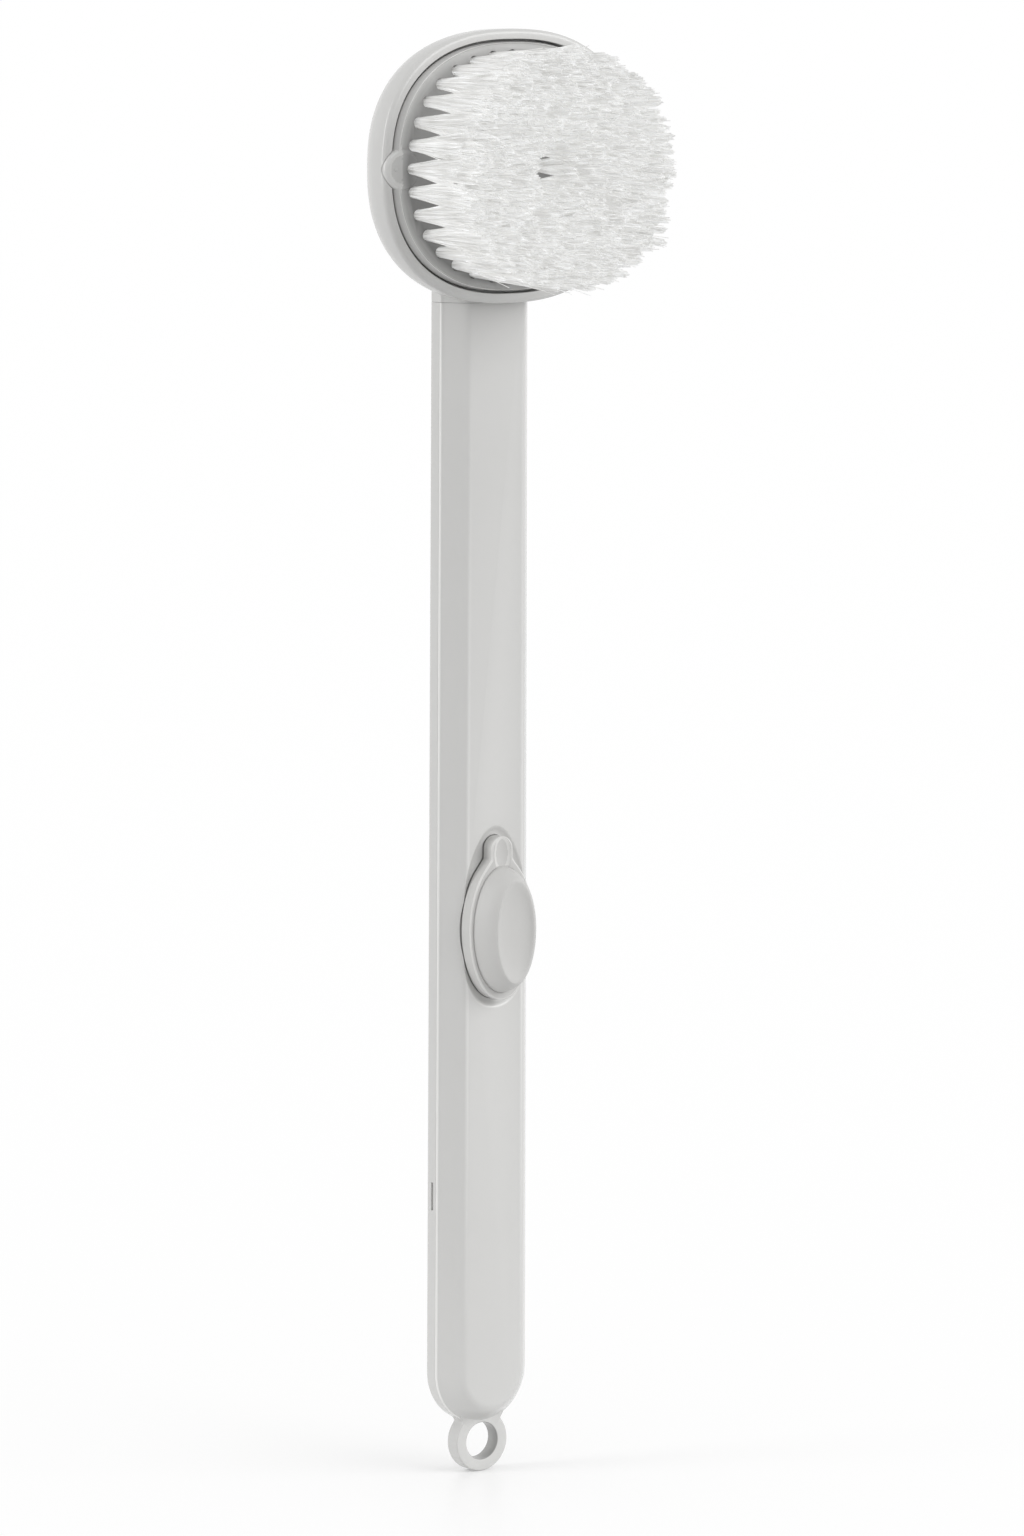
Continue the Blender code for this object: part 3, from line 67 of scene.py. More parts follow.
Colour = tuple[float, float, float]


class Body(Enum):
    """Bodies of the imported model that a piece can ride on."""

    HANDLE = "handle"
    HEAD = "brush_head"
    PLUG = "plug"
    BUTTON = "button"


class Slot(Enum):
    """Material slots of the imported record."""

    SHELL = "shell_plastic"
    SILICONE = "grey_silicone"
    BRISTLE = "bristle_nylon"
    INNER = "inner_plastic"
    CLEAR = "clear_silicone"
    SEAL = "seal_rubber"
    SCREW = "screw_steel"


class Carve(Enum):
    """Ways in which one solid changes another."""

    CUT = "DIFFERENCE"
    FUSE = "UNION"


# Finishes


def feed(tree: bpy.types.NodeTree, node: bpy.types.Node, inputs: Mapping[int | str, object]) -> None:
    """Fill a node's inputs.

    Args:
        tree: The tree that the node is in.
        node: The node.
        inputs: What each input gets: a plain value, or a link from another node's socket.
    """
    for name, value in inputs.items():
        if isinstance(value, bpy.types.NodeSocket):
            tree.links.new(value, node.inputs[name])
        else:
            node.inputs[name].default_value = value


def add_node(tree: bpy.types.NodeTree, kind: str, inputs: Mapping[int | str, object] | None = None,
             **settings: object) -> bpy.types.Node:
    """Add a shader node.

    Args:
        tree: The tree that it joins.
        kind: Its type, without the leading ShaderNode.
        inputs: What its inputs get.
        settings: The node's own settings, such as its operation.

    Returns:
        The node.
    """
    node = tree.nodes.new("ShaderNode" + kind)
    for name, value in settings.items():
        setattr(node, name, value)
    feed(tree, node, inputs or {})
    return node


def add_math(tree: bpy.types.NodeTree, operation: str, *terms: object) -> bpy.types.NodeSocket:
    """Return the result of a new Math node with these terms."""
    return add_node(tree, "Math", dict(enumerate(terms)), operation=operation).outputs[0]


def principled(name: str) -> tuple[bpy.types.Material, bpy.types.NodeTree, bpy.types.Node]:
    """Start a material.

    Args:
        name: Its name.

    Returns:
        The material, its tree and its Principled shader.
    """
    material = bpy.data.materials.new(name)
    material.use_nodes = True
    return material, material.node_tree, material.node_tree.nodes["Principled BSDF"]


@dataclass
class SurfaceGroups:
    """Shader node groups that more than one finish uses, each built once."""

    drift_scale: float = 26.0
    drift_detail: float = 3.0
    drift_span: tuple[float, float] = (0.3, 0.7)
    grain_detail: float = 2.0
    grain_share: float = 0.25
    moulded: bpy.types.ShaderNodeTree | None = None

    def moulded_skin(self) -> bpy.types.ShaderNodeTree:
        """Build the group for moulded skins: slow drift, fine grain, painted shade in hollows and painted
        highlights on edges.

        Returns:
            A group that gives a colour, a roughness and a height that change over the surface.
        """
        if self.moulded is not None:
            return self.moulded
        tree = bpy.data.node_groups.new("moulded_skin", "ShaderNodeTree")
        sides = {
            "INPUT": {"Position": "Vector", "Colour": "Color", "Drift": "Float", "Grain Density": "Float",
                      "Roughness Low": "Float", "Roughness High": "Float", "Painted Light": "Float",
                      "Painted Shade Tone": "Float"},
            "OUTPUT": {"Colour": "Color", "Roughness": "Float", "Height": "Float"},
        }
        for side, sockets in sides.items():
            for name, kind in sockets.items():
                tree.interface.new_socket(name, in_out=side, socket_type="NodeSocket" + kind)
        given = tree.nodes.new("NodeGroupInput").outputs
        drift = add_node(tree, "TexNoise", {
            "Vector": given["Position"], "Scale": self.drift_scale,
            "Detail": self.drift_detail}).outputs["Fac"]
        grain = add_node(tree, "TexNoise", {
            "Vector": given["Position"], "Scale": given["Grain Density"],
            "Detail": self.grain_detail}).outputs["Fac"]
        centred = add_math(tree, "SUBTRACT", drift, 0.5)
        speck = add_math(tree, "MULTIPLY_ADD", grain, self.grain_share, centred)
        amount = add_math(tree, "MULTIPLY_ADD", speck, given["Drift"], 1.0)
        # Painted light: a stored value of 1 darkens the colour to the painted shade tone, and values below 0
        # pale it as a painted highlight.
        depth = add_node(tree, "MapRange", {
            "Value": given["Painted Light"], "To Min": 1.0, "To Max": given["Painted Shade Tone"]}, clamp=False)
        tone = add_math(tree, "MULTIPLY", amount, depth.outputs["Result"])
        colour = add_node(tree, "VectorMath", {0: given["Colour"], "Scale": tone}, operation="SCALE")
        gloss = add_node(tree, "MapRange", {
            "Value": drift, "From Min": self.drift_span[0], "From Max": self.drift_span[1],
            "To Min": given["Roughness Low"], "To Max": given["Roughness High"]})
        feed(tree, tree.nodes.new("NodeGroupOutput"), {
            "Colour": colour.outputs[0], "Roughness": gloss.outputs["Result"], "Height": grain})
        self.moulded = tree
        return tree


GROUPS = SurfaceGroups()


@dataclass(frozen=True)
class MouldedFinish:
    """Moulded plastic, silicone or rubber with a fine grain, and painted shade and highlights where a piece
    stores them.
    """

    name: str
    colour: Colour
    roughness: tuple[float, float]
    drift: float = 0.05
    grain_size: float = 0.25 * MM
    grain_depth: float = 0.006 * MM
    metallic: float = 0.0
    specular: float = 0.5
    # How dark the colour goes where the painted shade is full; 1 paints no shade or highlight.
    painted_shade_tone: float = 1.0

    def material(self) -> bpy.types.Material:
        """Build the finish's material at its first use.

        Returns:
            The material.
        """
        made = bpy.data.materials.get(self.name)
        if made is not None:
            return made
        material, tree, shader = principled(self.name)
        skin = add_node(tree, "Group", node_tree=GROUPS.moulded_skin())
        feed(tree, skin, {
            "Position": add_node(tree, "TexCoord").outputs["Object"], "Colour": (*self.colour, 1.0),
            "Drift": self.drift, "Grain Density": 1.0 / self.grain_size, "Roughness Low": self.roughness[0],
            "Roughness High": self.roughness[1], "Painted Shade Tone": self.painted_shade_tone})
        # Only finishes that paint shade and highlights read the stored painted light.
        if self.painted_shade_tone < 1.0:
            feed(tree, skin, {"Painted Light": add_node(tree, "Attribute", attribute_name="painted_light").outputs["Fac"]})
        bump = add_node(tree, "Bump", {
            "Strength": 1.0, "Distance": self.grain_depth, "Height": skin.outputs["Height"]})
        feed(tree, shader, {
            "Metallic": self.metallic, "Specular IOR Level": self.specular,
            "Base Color": skin.outputs["Colour"], "Roughness": skin.outputs["Roughness"],
            "Normal": bump.outputs["Normal"]})
        return material


@dataclass(frozen=True)
class FilamentFinish:
    """White filaments that let light through, each one of its own tone: painted darker and warmer at the root
    as shade, and glowing for diffuse rays as painted light that stands in for light bouncing among them.
    """

    name: str
    shaded_root_colour: Colour
    tip_colour: Colour
    roughness: float = 0.42
    through: tuple[float, float] = (0.55, 0.925)
    # Strength of the painted glow that diffuse rays see, from the root to the tip; the weaker glow at the
    # root paints shade there.
    scatter: tuple[float, float] = (0.4, 1.62)

    def material(self) -> bpy.types.Material:
        """Build the finish's material at its first use.

        Returns:
            The material.
        """
        made = bpy.data.materials.get(self.name)
        if made is not None:
            return made
        material, tree, shader = principled(self.name)
        reach, tone = (add_node(tree, "Attribute", attribute_name=name).outputs["Fac"]
                       for name in ("reach", "tone"))
        ramp = add_node(tree, "Mix", {
            0: reach, 6: (*self.shaded_root_colour, 1.0), 7: (*self.tip_colour, 1.0)}, data_type="RGBA")
        toned = add_node(tree, "VectorMath", {0: ramp.outputs[2], "Scale": tone}, operation="SCALE")
        colour = toned.outputs[0]
        feed(tree, shader, {"Roughness": self.roughness, "Base Color": colour})
        through, scatter = (
            add_node(tree, "MapRange", {"Value": reach, "To Min": low, "To Max": high}).outputs["Result"]
            for low, high in (self.through, self.scatter))
        path = add_node(tree, "LightPath").outputs
        # Painted light: diffuse rays see the filaments glow in their own colour.
        diffuse_glow = add_node(tree, "Emission", {"Color": colour, "Strength": scatter})
        within = add_node(tree, "MixShader", {
            0: path["Is Diffuse Ray"], 1: shader.outputs[0], 2: diffuse_glow.outputs[0]})
        mix = add_node(tree, "MixShader", {
            0: add_math(tree, "MULTIPLY", path["Is Shadow Ray"], through), 1: within.outputs[0],
            2: add_node(tree, "BsdfTransparent").outputs[0]})
        feed(tree, tree.nodes["Material Output"], {"Surface": mix.outputs[0]})
        return material


# The shell and the grey silicone darken to 0.05 of their colour where the painted shade is full.
SHELL_FINISH = MouldedFinish(
    "satin_shell", (0.62, 0.618, 0.607), (0.18, 0.25), drift=0.04, specular=0.6, painted_shade_tone=0.05)
SILICONE_FINISH = MouldedFinish(
    "soft_silicone", (0.575, 0.572, 0.56), (0.44, 0.54), drift=0.04, grain_size=0.4 * MM,
    grain_depth=0.004 * MM, painted_shade_tone=0.05)
INNER_FINISH = MouldedFinish("inner_moulding", (0.48, 0.475, 0.46), (0.42, 0.52))
CLEAR_FINISH = MouldedFinish("cloudy_silicone", (0.80, 0.81, 0.80), (0.30, 0.40))
SEAL_FINISH = MouldedFinish("dark_seal", (0.06, 0.06, 0.065), (0.50, 0.62))
SCREW_FINISH = MouldedFinish("turned_steel", (0.62, 0.62, 0.63), (0.22, 0.34), metallic=1.0)
BRISTLE_FINISH = FilamentFinish("white_filament", (0.91, 0.905, 0.885), (0.94, 0.945, 0.95))


# Mesh tools


def superellipse(half_width: float, half_height: float, depth: float, height: float, steps: int,
                 exponent: float = 2.0) -> Outline:
    """Work out a closed superellipse in a plane of constant Y.

    Args:
        half_width: Half its size along X.
        half_height: Half its size along Z.
        depth: Its Y.
        height: The Z of its centre.
        steps: How many points it has.
        exponent: 2 for an ellipse, more for squarer corners.

    Returns:
        The points, in order.
    """
    points = []
    for index in range(steps):
        angle = FULL_TURN * index / steps
        across, along = math.cos(angle), math.sin(angle)
        level = abs(across / half_width) ** exponent + abs(along / half_height) ** exponent
        reach = level ** (-1 / exponent)
        points.append(Vector((reach * across, depth, height + reach * along)))
    return points


def eased(profile: Profile, steps: int) -> list[tuple[float, float]]:
    """Work out a smooth curve through a profile's points.

    Args:
        profile: The points to pass through.
        steps: How many steps each span gets.

    Returns:
        The denser profile, ends included.
    """
    padded = [profile[0], *profile, profile[-1]]
    result = []
    for before, start, end, after in zip(padded, padded[1:], padded[2:], padded[3:]):
        for step in range(steps):
            t = step / steps
            point = []
            for a, b, c, d in zip(before, start, end, after):
                point.append(0.5 * (2 * b + (c - a) * t + (2 * a - 5 * b + 4 * c - d) * t * t
                                    + (3 * b - a - 3 * c + d) * t * t * t))
            result.append((point[0], point[1]))
    result.append(tuple(profile[-1]))
    return result


def quarter(steps: int, first: int = 1) -> list[tuple[float, float]]:
    """Work out a rounded corner of radius 1 between two straight sides.

    Args:
        steps: How many steps the quarter turn has.
        first: The step to start at.

    Returns:
        At each step, how far the corner has left the one side and how far it is from the other.
    """
    corner = []
    for index in range(first, steps + 1):
        angle = math.pi / 2 * index / steps
        corner.append((1 - math.cos(angle), 1 - math.sin(angle)))
    return corner


class RingSkin:
    """A skin grown by extruding closed rings of edges from outline to outline."""

    def __init__(self) -> None:
        """Start an empty mesh."""
        self.mesh = bmesh.new()

    def start(self, outline: Outline) -> Ring:
        """Lay a new closed ring of edges.

        Args:
            outline: Where it lies.

        Returns:
            The ring.
        """
        made = bmesh.ops.create_circle(self.mesh, cap_ends=False, segments=len(outline), radius=1.0)
        ring = list(made["verts"])
        for vertex, point in zip(ring, outline):
            vertex.co = point
        return ring

    def edges(self, ring: Ring) -> list[bmesh.types.BMEdge]:
        """Return the edges between a ring's neighbours."""
        return [self.mesh.edges.get((ring[index - 1], ring[index])) for index in range(len(ring))]

    def grow(self, ring: Ring, *outlines: Outline) -> Ring:
        """Extrude a ring onto each outline in turn.

        Args:
            ring: The ring to start from.
            outlines: Where the new rings lie, with as many points as the first.

        Returns:
            The last ring.
        """
        for outline in outlines:
            grown = bmesh.ops.extrude_edge_only(self.mesh, edges=self.edges(ring))
            fresh = {item for item in grown["geom"] if isinstance(item, bmesh.types.BMVert)}
            following = []
            for vertex, point in zip(ring, outline):
                partner = next(edge.other_vert(vertex) for edge in vertex.link_edges
                               if edge.other_vert(vertex) in fresh)
                partner.co = point
                following.append(partner)
            ring = following
        return ring

    def fill(self, *rings: Ring) -> None:
        """Close the flat area inside a ring, or between a ring and those inside it.

        Args:
            rings: The ring, and those inside it.
        """
        edges = [edge for ring in rings for edge in self.edges(ring)]
        if len(rings) == 1:
            bmesh.ops.contextual_create(self.mesh, geom=edges)
        else:
            bmesh.ops.triangle_fill(self.mesh, use_beauty=True, use_dissolve=False, edges=edges)

    def join(self, first: Ring, second: Ring) -> None:
        """Bridge two rings of equal counts."""
        bmesh.ops.bridge_loops(self.mesh, edges=self.edges(first) + self.edges(second))

    def trim(self, height: float) -> None:
        """Cut away what lies above a height and close the cut.

        Args:
            height: The cut's Z.
        """
        geometry = [*self.mesh.verts, *self.mesh.edges, *self.mesh.faces]
        cut = bmesh.ops.bisect_plane(
            self.mesh, geom=geometry, dist=1e-7, plane_co=(0.0, 0.0, height), plane_no=(0.0, 0.0, 1.0),
            clear_outer=True)
        edges = [item for item in cut["geom_cut"] if isinstance(item, bmesh.types.BMEdge)]
        bmesh.ops.triangle_fill(self.mesh, use_beauty=True, use_dissolve=False, edges=edges)

    def closed(self) -> bmesh.types.BMesh:
        """Return the mesh with its faces pointing outwards."""
        bmesh.ops.recalc_face_normals(self.mesh, faces=self.mesh.faces)
        return self.mesh


def new_object(name: str, data: bpy.types.ID) -> bpy.types.Object:
    """Link a new object into the scene.

    Args:
        name: Its name.
        data: Its mesh, curve, lamp or camera.

    Returns:
        The object, at the origin.
    """
    item = bpy.data.objects.new(name, data)
    bpy.context.scene.collection.objects.link(item)
    return item


def solid(name: str, mesh: bmesh.types.BMesh) -> bpy.types.Object:
    """Turn a bmesh into an object at the origin and free it.

    Args:
        name: The object's name.
        mesh: Its mesh.

    Returns:
        The object.
    """
    data = bpy.data.meshes.new(name)
    mesh.to_mesh(data)
    mesh.free()
    return new_object(name, data)


def evaluated_mesh(item: bpy.types.Object) -> bpy.types.Mesh:
    """Return a new mesh of an object with its modifiers or its curve applied."""
    graph = bpy.context.evaluated_depsgraph_get()
    return bpy.data.meshes.new_from_object(item.evaluated_get(graph))


def carve(target: bpy.types.Object, mode: Carve, *tools: bpy.types.Object) -> None:
    """Cut solids out of another or fuse them with it, for good, and remove them.

    Args:
        target: The solid that changes.
        mode: Whether the others are cut out or fused.
        tools: The other solids.
    """
    for tool in tools:
        modifier = target.modifiers.new("carve", "BOOLEAN")
        modifier.operation = mode.value
        modifier.solver = "EXACT"
        modifier.object = tool
        old = target.data
        made = evaluated_mesh(target)
        target.modifiers.clear()
        target.data = made
        bpy.data.meshes.remove(old)
        bpy.data.objects.remove(tool, do_unlink=True)


def loft(*outlines: Outline) -> bmesh.types.BMesh:
    """Skin outlines and close both ends.

    Args:
        outlines: The outlines, from one end to the other.

    Returns:
        The closed mesh.
    """
    skin = RingSkin()
    first = skin.start(outlines[0])
    last = skin.grow(first, *outlines[1:])
    skin.fill(first)
    skin.fill(last)
    return skin.closed()


def add_bore(mesh: bmesh.types.BMesh, place: tuple[float, float], start: float, end: float, radius: float,
             steps: int, end_radius: float | None = None) -> Ring:
    """Add a cylinder or cone along Y.

    Args:
        mesh: The mesh that it joins.
        place: Its X and Z.
        start: The Y where it starts.
        end: The Y where it ends.
        radius: Its radius.
        steps: How many sides it has.
        end_radius: Its radius at the end, where that differs.

    Returns:
        Its vertices.
    """
    first, last = Vector((place[0], start, place[1])), Vector((place[0], end, place[1]))
    axis = last - first
    turn = axis.to_track_quat("Z", "Y").to_matrix().to_4x4()
    made = bmesh.ops.create_cone(
        mesh, cap_ends=True, segments=steps, radius1=radius,
        radius2=radius if end_radius is None else end_radius, depth=axis.length,
        matrix=Matrix.Translation((first + last) / 2) @ turn)
    return made["verts"]


def add_box(mesh: bmesh.types.BMesh, centre: Sequence[float], size: Sequence[float]) -> None:
    """Add a box.

    Args:
        mesh: The mesh that it joins.
        centre: Its centre.
        size: Its sizes along X, Y and Z.
    """
    corners = bmesh.ops.create_cube(mesh, size=1.0)["verts"]
    bmesh.ops.scale(mesh, vec=size, verts=corners)
    bmesh.ops.translate(mesh, vec=centre, verts=corners)


def ball(name: str, centre: Sequence[float], radii: Sequence[float], rings: int) -> bpy.types.Object:
    """Make a round or drawn-out ball.

    Args:
        name: Its name.
        centre: Its centre.
        radii: Its radii along X, Y and Z.
        rings: How many rings it has from pole to pole.

    Returns:
        The ball.
    """
    mesh = bmesh.new()
    bmesh.ops.create_uvsphere(mesh, u_segments=rings * 3 // 2, v_segments=rings, radius=1.0)
    bmesh.ops.scale(mesh, vec=radii, verts=mesh.verts)
    bmesh.ops.translate(mesh, vec=centre, verts=mesh.verts)
    return solid(name, mesh)


def shade(item: bpy.types.Object, painted_light_at: Callable[[Vector], float]) -> None:
    """Store the painted light at each point: above 0 the finish is darkened there as painted shade, below 0
    it is paled as a painted highlight.

    Args:
        item: The piece.
        painted_light_at: Gives the painted shade or highlight at a place.
    """
    painted_light = item.data.attributes.new("painted_light", "FLOAT", "POINT")
    for vertex, value in zip(item.data.vertices, painted_light.data):
        value.value = painted_light_at(vertex.co)


def dress(item: bpy.types.Object, finish: MouldedFinish | FilamentFinish, body: Body | None, slot: Slot,
          *stands_for: str, sharp: float = 32.0) -> bpy.types.Object:
    """Give a piece its finish, its shading, the body it rides on and the nodes it stands for.

    Args:
        item: The piece.
        finish: Its finish.
        body: The body that it moves with, or None for a piece that rides on no body.
        slot: The record's material slot; not used.
        stands_for: The CAD nodes that it replaces.
        sharp: The angle in degrees from which an edge is drawn sharp.

    Returns:
        The piece.
    """
    mesh = item.data
    mesh.shade_smooth()
    for polygon in mesh.polygons:
        if abs(polygon.normal.y) > 1 - TOLERANCE:
            polygon.use_smooth = False
    mesh.set_sharp_from_angle(angle=math.radians(sharp))
    mesh.materials.clear()
    mesh.materials.append(finish.material())
    if body is not None:
        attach(item, body.value)
    if stands_for:
        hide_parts(*stands_for)
    LOG.info("%s: %d faces", item.name, len(mesh.polygons))
    return item


# Handle


@dataclass
class HandleForm:
    """The handle's outline and cross-section, which shells, loop and head share."""

    end: float = 4.9 * MM
    top: float = 293.42 * MM
    width_low: float = 27.8 * MM
    width_top: float = 26.6 * MM
    parting: float = -0.8 * MM
    front_depth: float = 6.4 * MM
    back_depth: float = 4.6 * MM
    flank_width: float = 4.9 * MM
    back_rounding: float = 1.6 * MM
    wall: float = 1.6 * MM
    face_wall: float = 2.6 * MM
    seam: float = 0.04 * MM
    edge: float = 0.05 * MM
    arc_steps: int = 56
    over: float = 6.0 * MM
    flank: Profile = (
        (0.0, 0.02), (-0.012, 0.045), (-0.015, 0.08), (0.0, 0.12), (0.06, 0.165), (0.16, 0.25), (0.42, 0.52),
        (0.62, 0.717), (0.78, 0.847), (0.92, 0.93), (1.06, 0.98), (1.2, 1.0),
    )
    # Painted highlight along the front half's rim: the band of the flank, as shares of the front's depth, and
    # how much paler it is drawn.
    highlight_band: tuple[float, float] = (0.03, 0.14)
    edge_highlight: float = 0.3

    @property
    def face(self) -> float:
        """The Y of the flat face."""
        return self.parting - self.front_depth

    @property
    def back(self) -> float:
        """The Y of the flat back."""
        return self.parting + self.back_depth

    def outline(self, inset: float, depth: float) -> Outline:
        """Work out the handle's outline in a plane of constant Y.

        Args:
            inset: How far it is drawn in.
            depth: Its Y.

        Returns:
            The outline, with its straight end above the handle's top.
        """
        radius = self.width_low / 2
        centre = self.end + radius
        slope = (self.width_low - self.width_top) / 2 / (self.top - centre)
        half = self.width_top / 2 - slope * self.over - inset
        height = self.top + self.over
        points = [Vector((half, depth, height))]
        for index in range(self.arc_steps + 1):
            angle = -math.pi * index / self.arc_steps
            reach = radius - inset
            points.append(Vector((reach * math.cos(angle), depth, centre + reach * math.sin(angle))))
        points.append(Vector((-half, depth, height)))
        return points

    def section(self, inset: float, height: float, front: float | None = None,
                back: float | None = None) -> Outline:
        """Work out the cross-section at the handle's top.

        Args:
            inset: How far its sides are drawn in.
            height: Its Z.
            front: The depth of its front from the parting plane.
            back: The Y of its back.

        Returns:
            The closed section.
        """
        front = self.front_depth if front is None else front
        back = self.back if back is None else back
        half = self.width_top / 2 - inset
        radius = min(self.back_rounding, (back - self.parting) / 2)
        side = [(half - radius * inwards, back - radius * forwards)
                for inwards, forwards in reversed(quarter(8, 0))]
        for inwards, forwards in eased(self.flank, 3):
            side.append((half - self.flank_width * inwards, self.parting - front * forwards))
        points = [Vector((x, y, height)) for x, y in side]
        return points + [Vector((-x, y, height)) for x, y in reversed(side)]


@dataclass
class Recess:
    """The egg-shaped recess in the handle's face and the mouth in its floor."""

    height: float = 134.2 * MM
    half_width: float = 10.7 * MM
    reach_up: float = 26.4 * MM
    reach_down: float = 20.3 * MM
    exponent_up: float = 1.85
    exponent_down: float = 2.3
    depth: float = 0.85 * MM
    slope_width: float = 1.9 * MM
    mouth_half_width: float = 6.4 * MM
    mouth_half_height: float = 13.0 * MM
    over: float = 2.0 * MM
    # Painted highlight round the recess's edge: how much paler, and over what width.
    edge_highlight: float = 0.2
    highlight_width: float = 0.4 * MM
    seat: float = 0.8 * MM
    seat_gap: float = 0.12 * MM
    steps: int = 120
    slope: Profile = (
        (-0.42, -0.06), (-0.28, -0.01), (-0.14, 0.04), (0.0, 0.13), (0.16, 0.32), (0.36, 0.56), (0.58, 0.78),
        (0.80, 0.94), (1.0, 1.0),
    )

    def outline(self, inset: float, depth: float) -> Outline:
        """Work out the recess's outline at a depth.

        Args:
            inset: How far it is drawn in.
            depth: Its Y.

        Returns:
            The closed outline, longer upwards than downwards.
        """
        upper, lower = (
            superellipse(self.half_width - inset, reach - inset, depth, self.height, self.steps, exponent)
            for reach, exponent in ((self.reach_up, self.exponent_up), (self.reach_down, self.exponent_down)))
        return [high if high.z > self.height else low for high, low in zip(upper, lower)]

    def painted_highlight_at(self, place: Vector) -> float:
        """Work out the painted highlight near the recess, whose edge is drawn paler.

        Args:
            place: The place.

        Returns:
            The painted light value, below 0 at the edge and 0 away from it.
        """
        up = place.z > self.height
        reach, exponent = (self.reach_up, self.exponent_up) if up else (self.reach_down, self.exponent_down)
        along = abs(place.z - self.height)
        level = (abs(place.x) / self.half_width) ** exponent + (along / reach) ** exponent
        inwards = (1 - level ** (1 / exponent)) * self.half_width
        return -self.edge_highlight * max(1 - abs(inwards) / self.highlight_width, 0.0)

    def cutters(self, face: float, inner_face: float) -> list[bpy.types.Object]:
        """Make the solids that the recess, the plug's seat and the mouth take out of the front shell.

        Args:
            face: The Y of the handle's face.
            inner_face: The Y of the inner side of that wall.

        Returns:
            The three solids.
        """
        bowl = [self.outline(self.slope_width * self.slope[0][0], face - self.over)]
        for inwards, backwards in eased(self.slope, 3):
            bowl.append(self.outline(self.slope_width * inwards, face + self.depth * backwards))
        seat = [RefillPlug().keyhole(-self.seat_gap, depth)
                for depth in (face - self.over, face + self.depth + self.seat)]
        mouth = [superellipse(self.mouth_half_width, self.mouth_half_height, depth, self.height, self.steps)
                 for depth in (face - self.over, inner_face + self.over)]
        return [solid(name, loft(*outlines))
                for name, outlines in (("recess", bowl), ("seat", seat), ("mouth", mouth))]


@dataclass
class HandleShells:
    """The two halves of the hollow handle."""

    form: HandleForm = field(default_factory=HandleForm)
    recess: Recess = field(default_factory=Recess)
    notch_height: float = 64.9 * MM
    notch_length: float = 7.2 * MM
    notch_width: float = 0.9 * MM
    notch_depth: float = 0.6 * MM
    notch_inset: float = 0.07 * MM
    back_land: float = 1.2
    inner_chamfer: float = 1.0 * MM

    def front(self) -> None:
        """Build the crowned front half with its recess and its refill mouth."""
        form = self.form
        skin = RingSkin()
        start = form.parting - form.seam / 2
        land = skin.start(form.outline(form.edge, start))
        outer = [form.outline(0.0, start - form.edge)]
        for inwards, forwards in eased(form.flank, 4):
            outer.append(form.outline(form.flank_width * inwards, form.parting - form.front_depth * forwards))
        skin.fill(skin.grow(land, *outer))
        inner = [form.outline(form.wall, start)]
        for inwards, forwards in form.flank:
            inner.append(form.outline(
                form.wall + form.flank_width * inwards,
                form.parting - (form.front_depth - form.face_wall) * forwards))
        skin.fill(skin.grow(land, *inner))
        skin.trim(form.top)
        shell = solid("front_shell", skin.closed())
        carve(shell, Carve.CUT, *self.recess.cutters(form.face, form.face + form.face_wall))
        # Painted highlights along the rim and round the recess's edge.
        shade(shell, self.depth)
        dress(shell, SHELL_FINISH, Body.HANDLE, Slot.SHELL, "handle_front_shell")

    def depth(self, place: Vector) -> float:
        """Work out the painted light on the front half: painted highlights along the rim and round the
        recess.

        Args:
            place: The place.

        Returns:
            The painted light, below 0 where a highlight is painted.
        """
        low, high = self.form.highlight_band
        forwards = (self.form.parting - place.y) / self.form.front_depth
        return -self.form.edge_highlight if low < forwards < high else self.recess.painted_highlight_at(place)

    def back(self) -> None:
        """Build the tray of the back half, with a pry notch in each side."""
        form = self.form
        skin = RingSkin()
        start = form.parting + form.seam / 2
        land = skin.start(form.outline(form.edge, start))
        outer = [form.outline(0.0, start + form.edge)]
        radius = form.back_rounding
        outer += [form.outline(radius * inwards, form.back - radius * forwards)
                  for inwards, forwards in quarter(10, 0)]
        outer.append(form.outline(radius * self.back_land, form.back))
        skin.fill(skin.grow(land, *outer))
        inner_back = form.back - form.wall
        skin.fill(skin.grow(
            land, form.outline(form.wall, start), form.outline(form.wall, inner_back - self.inner_chamfer),
            form.outline(form.wall + self.inner_chamfer, inner_back)))
        skin.trim(form.top)
        shell = solid("back_shell", skin.closed())
        notches = bmesh.new()
        half = form.width_low / 2 - self.notch_inset
        for side in (-half, half):
            add_box(notches, (side, (inner_back + start) / 2, self.notch_height),
                    (2 * self.notch_depth, self.notch_width, self.notch_length))
        carve(shell, Carve.CUT, solid("notches", notches))
        dress(shell, SHELL_FINISH, Body.HANDLE, Slot.SHELL, "handle_back_shell")

    def build(self) -> None:
        """Build both halves."""
        self.front()
        self.back()


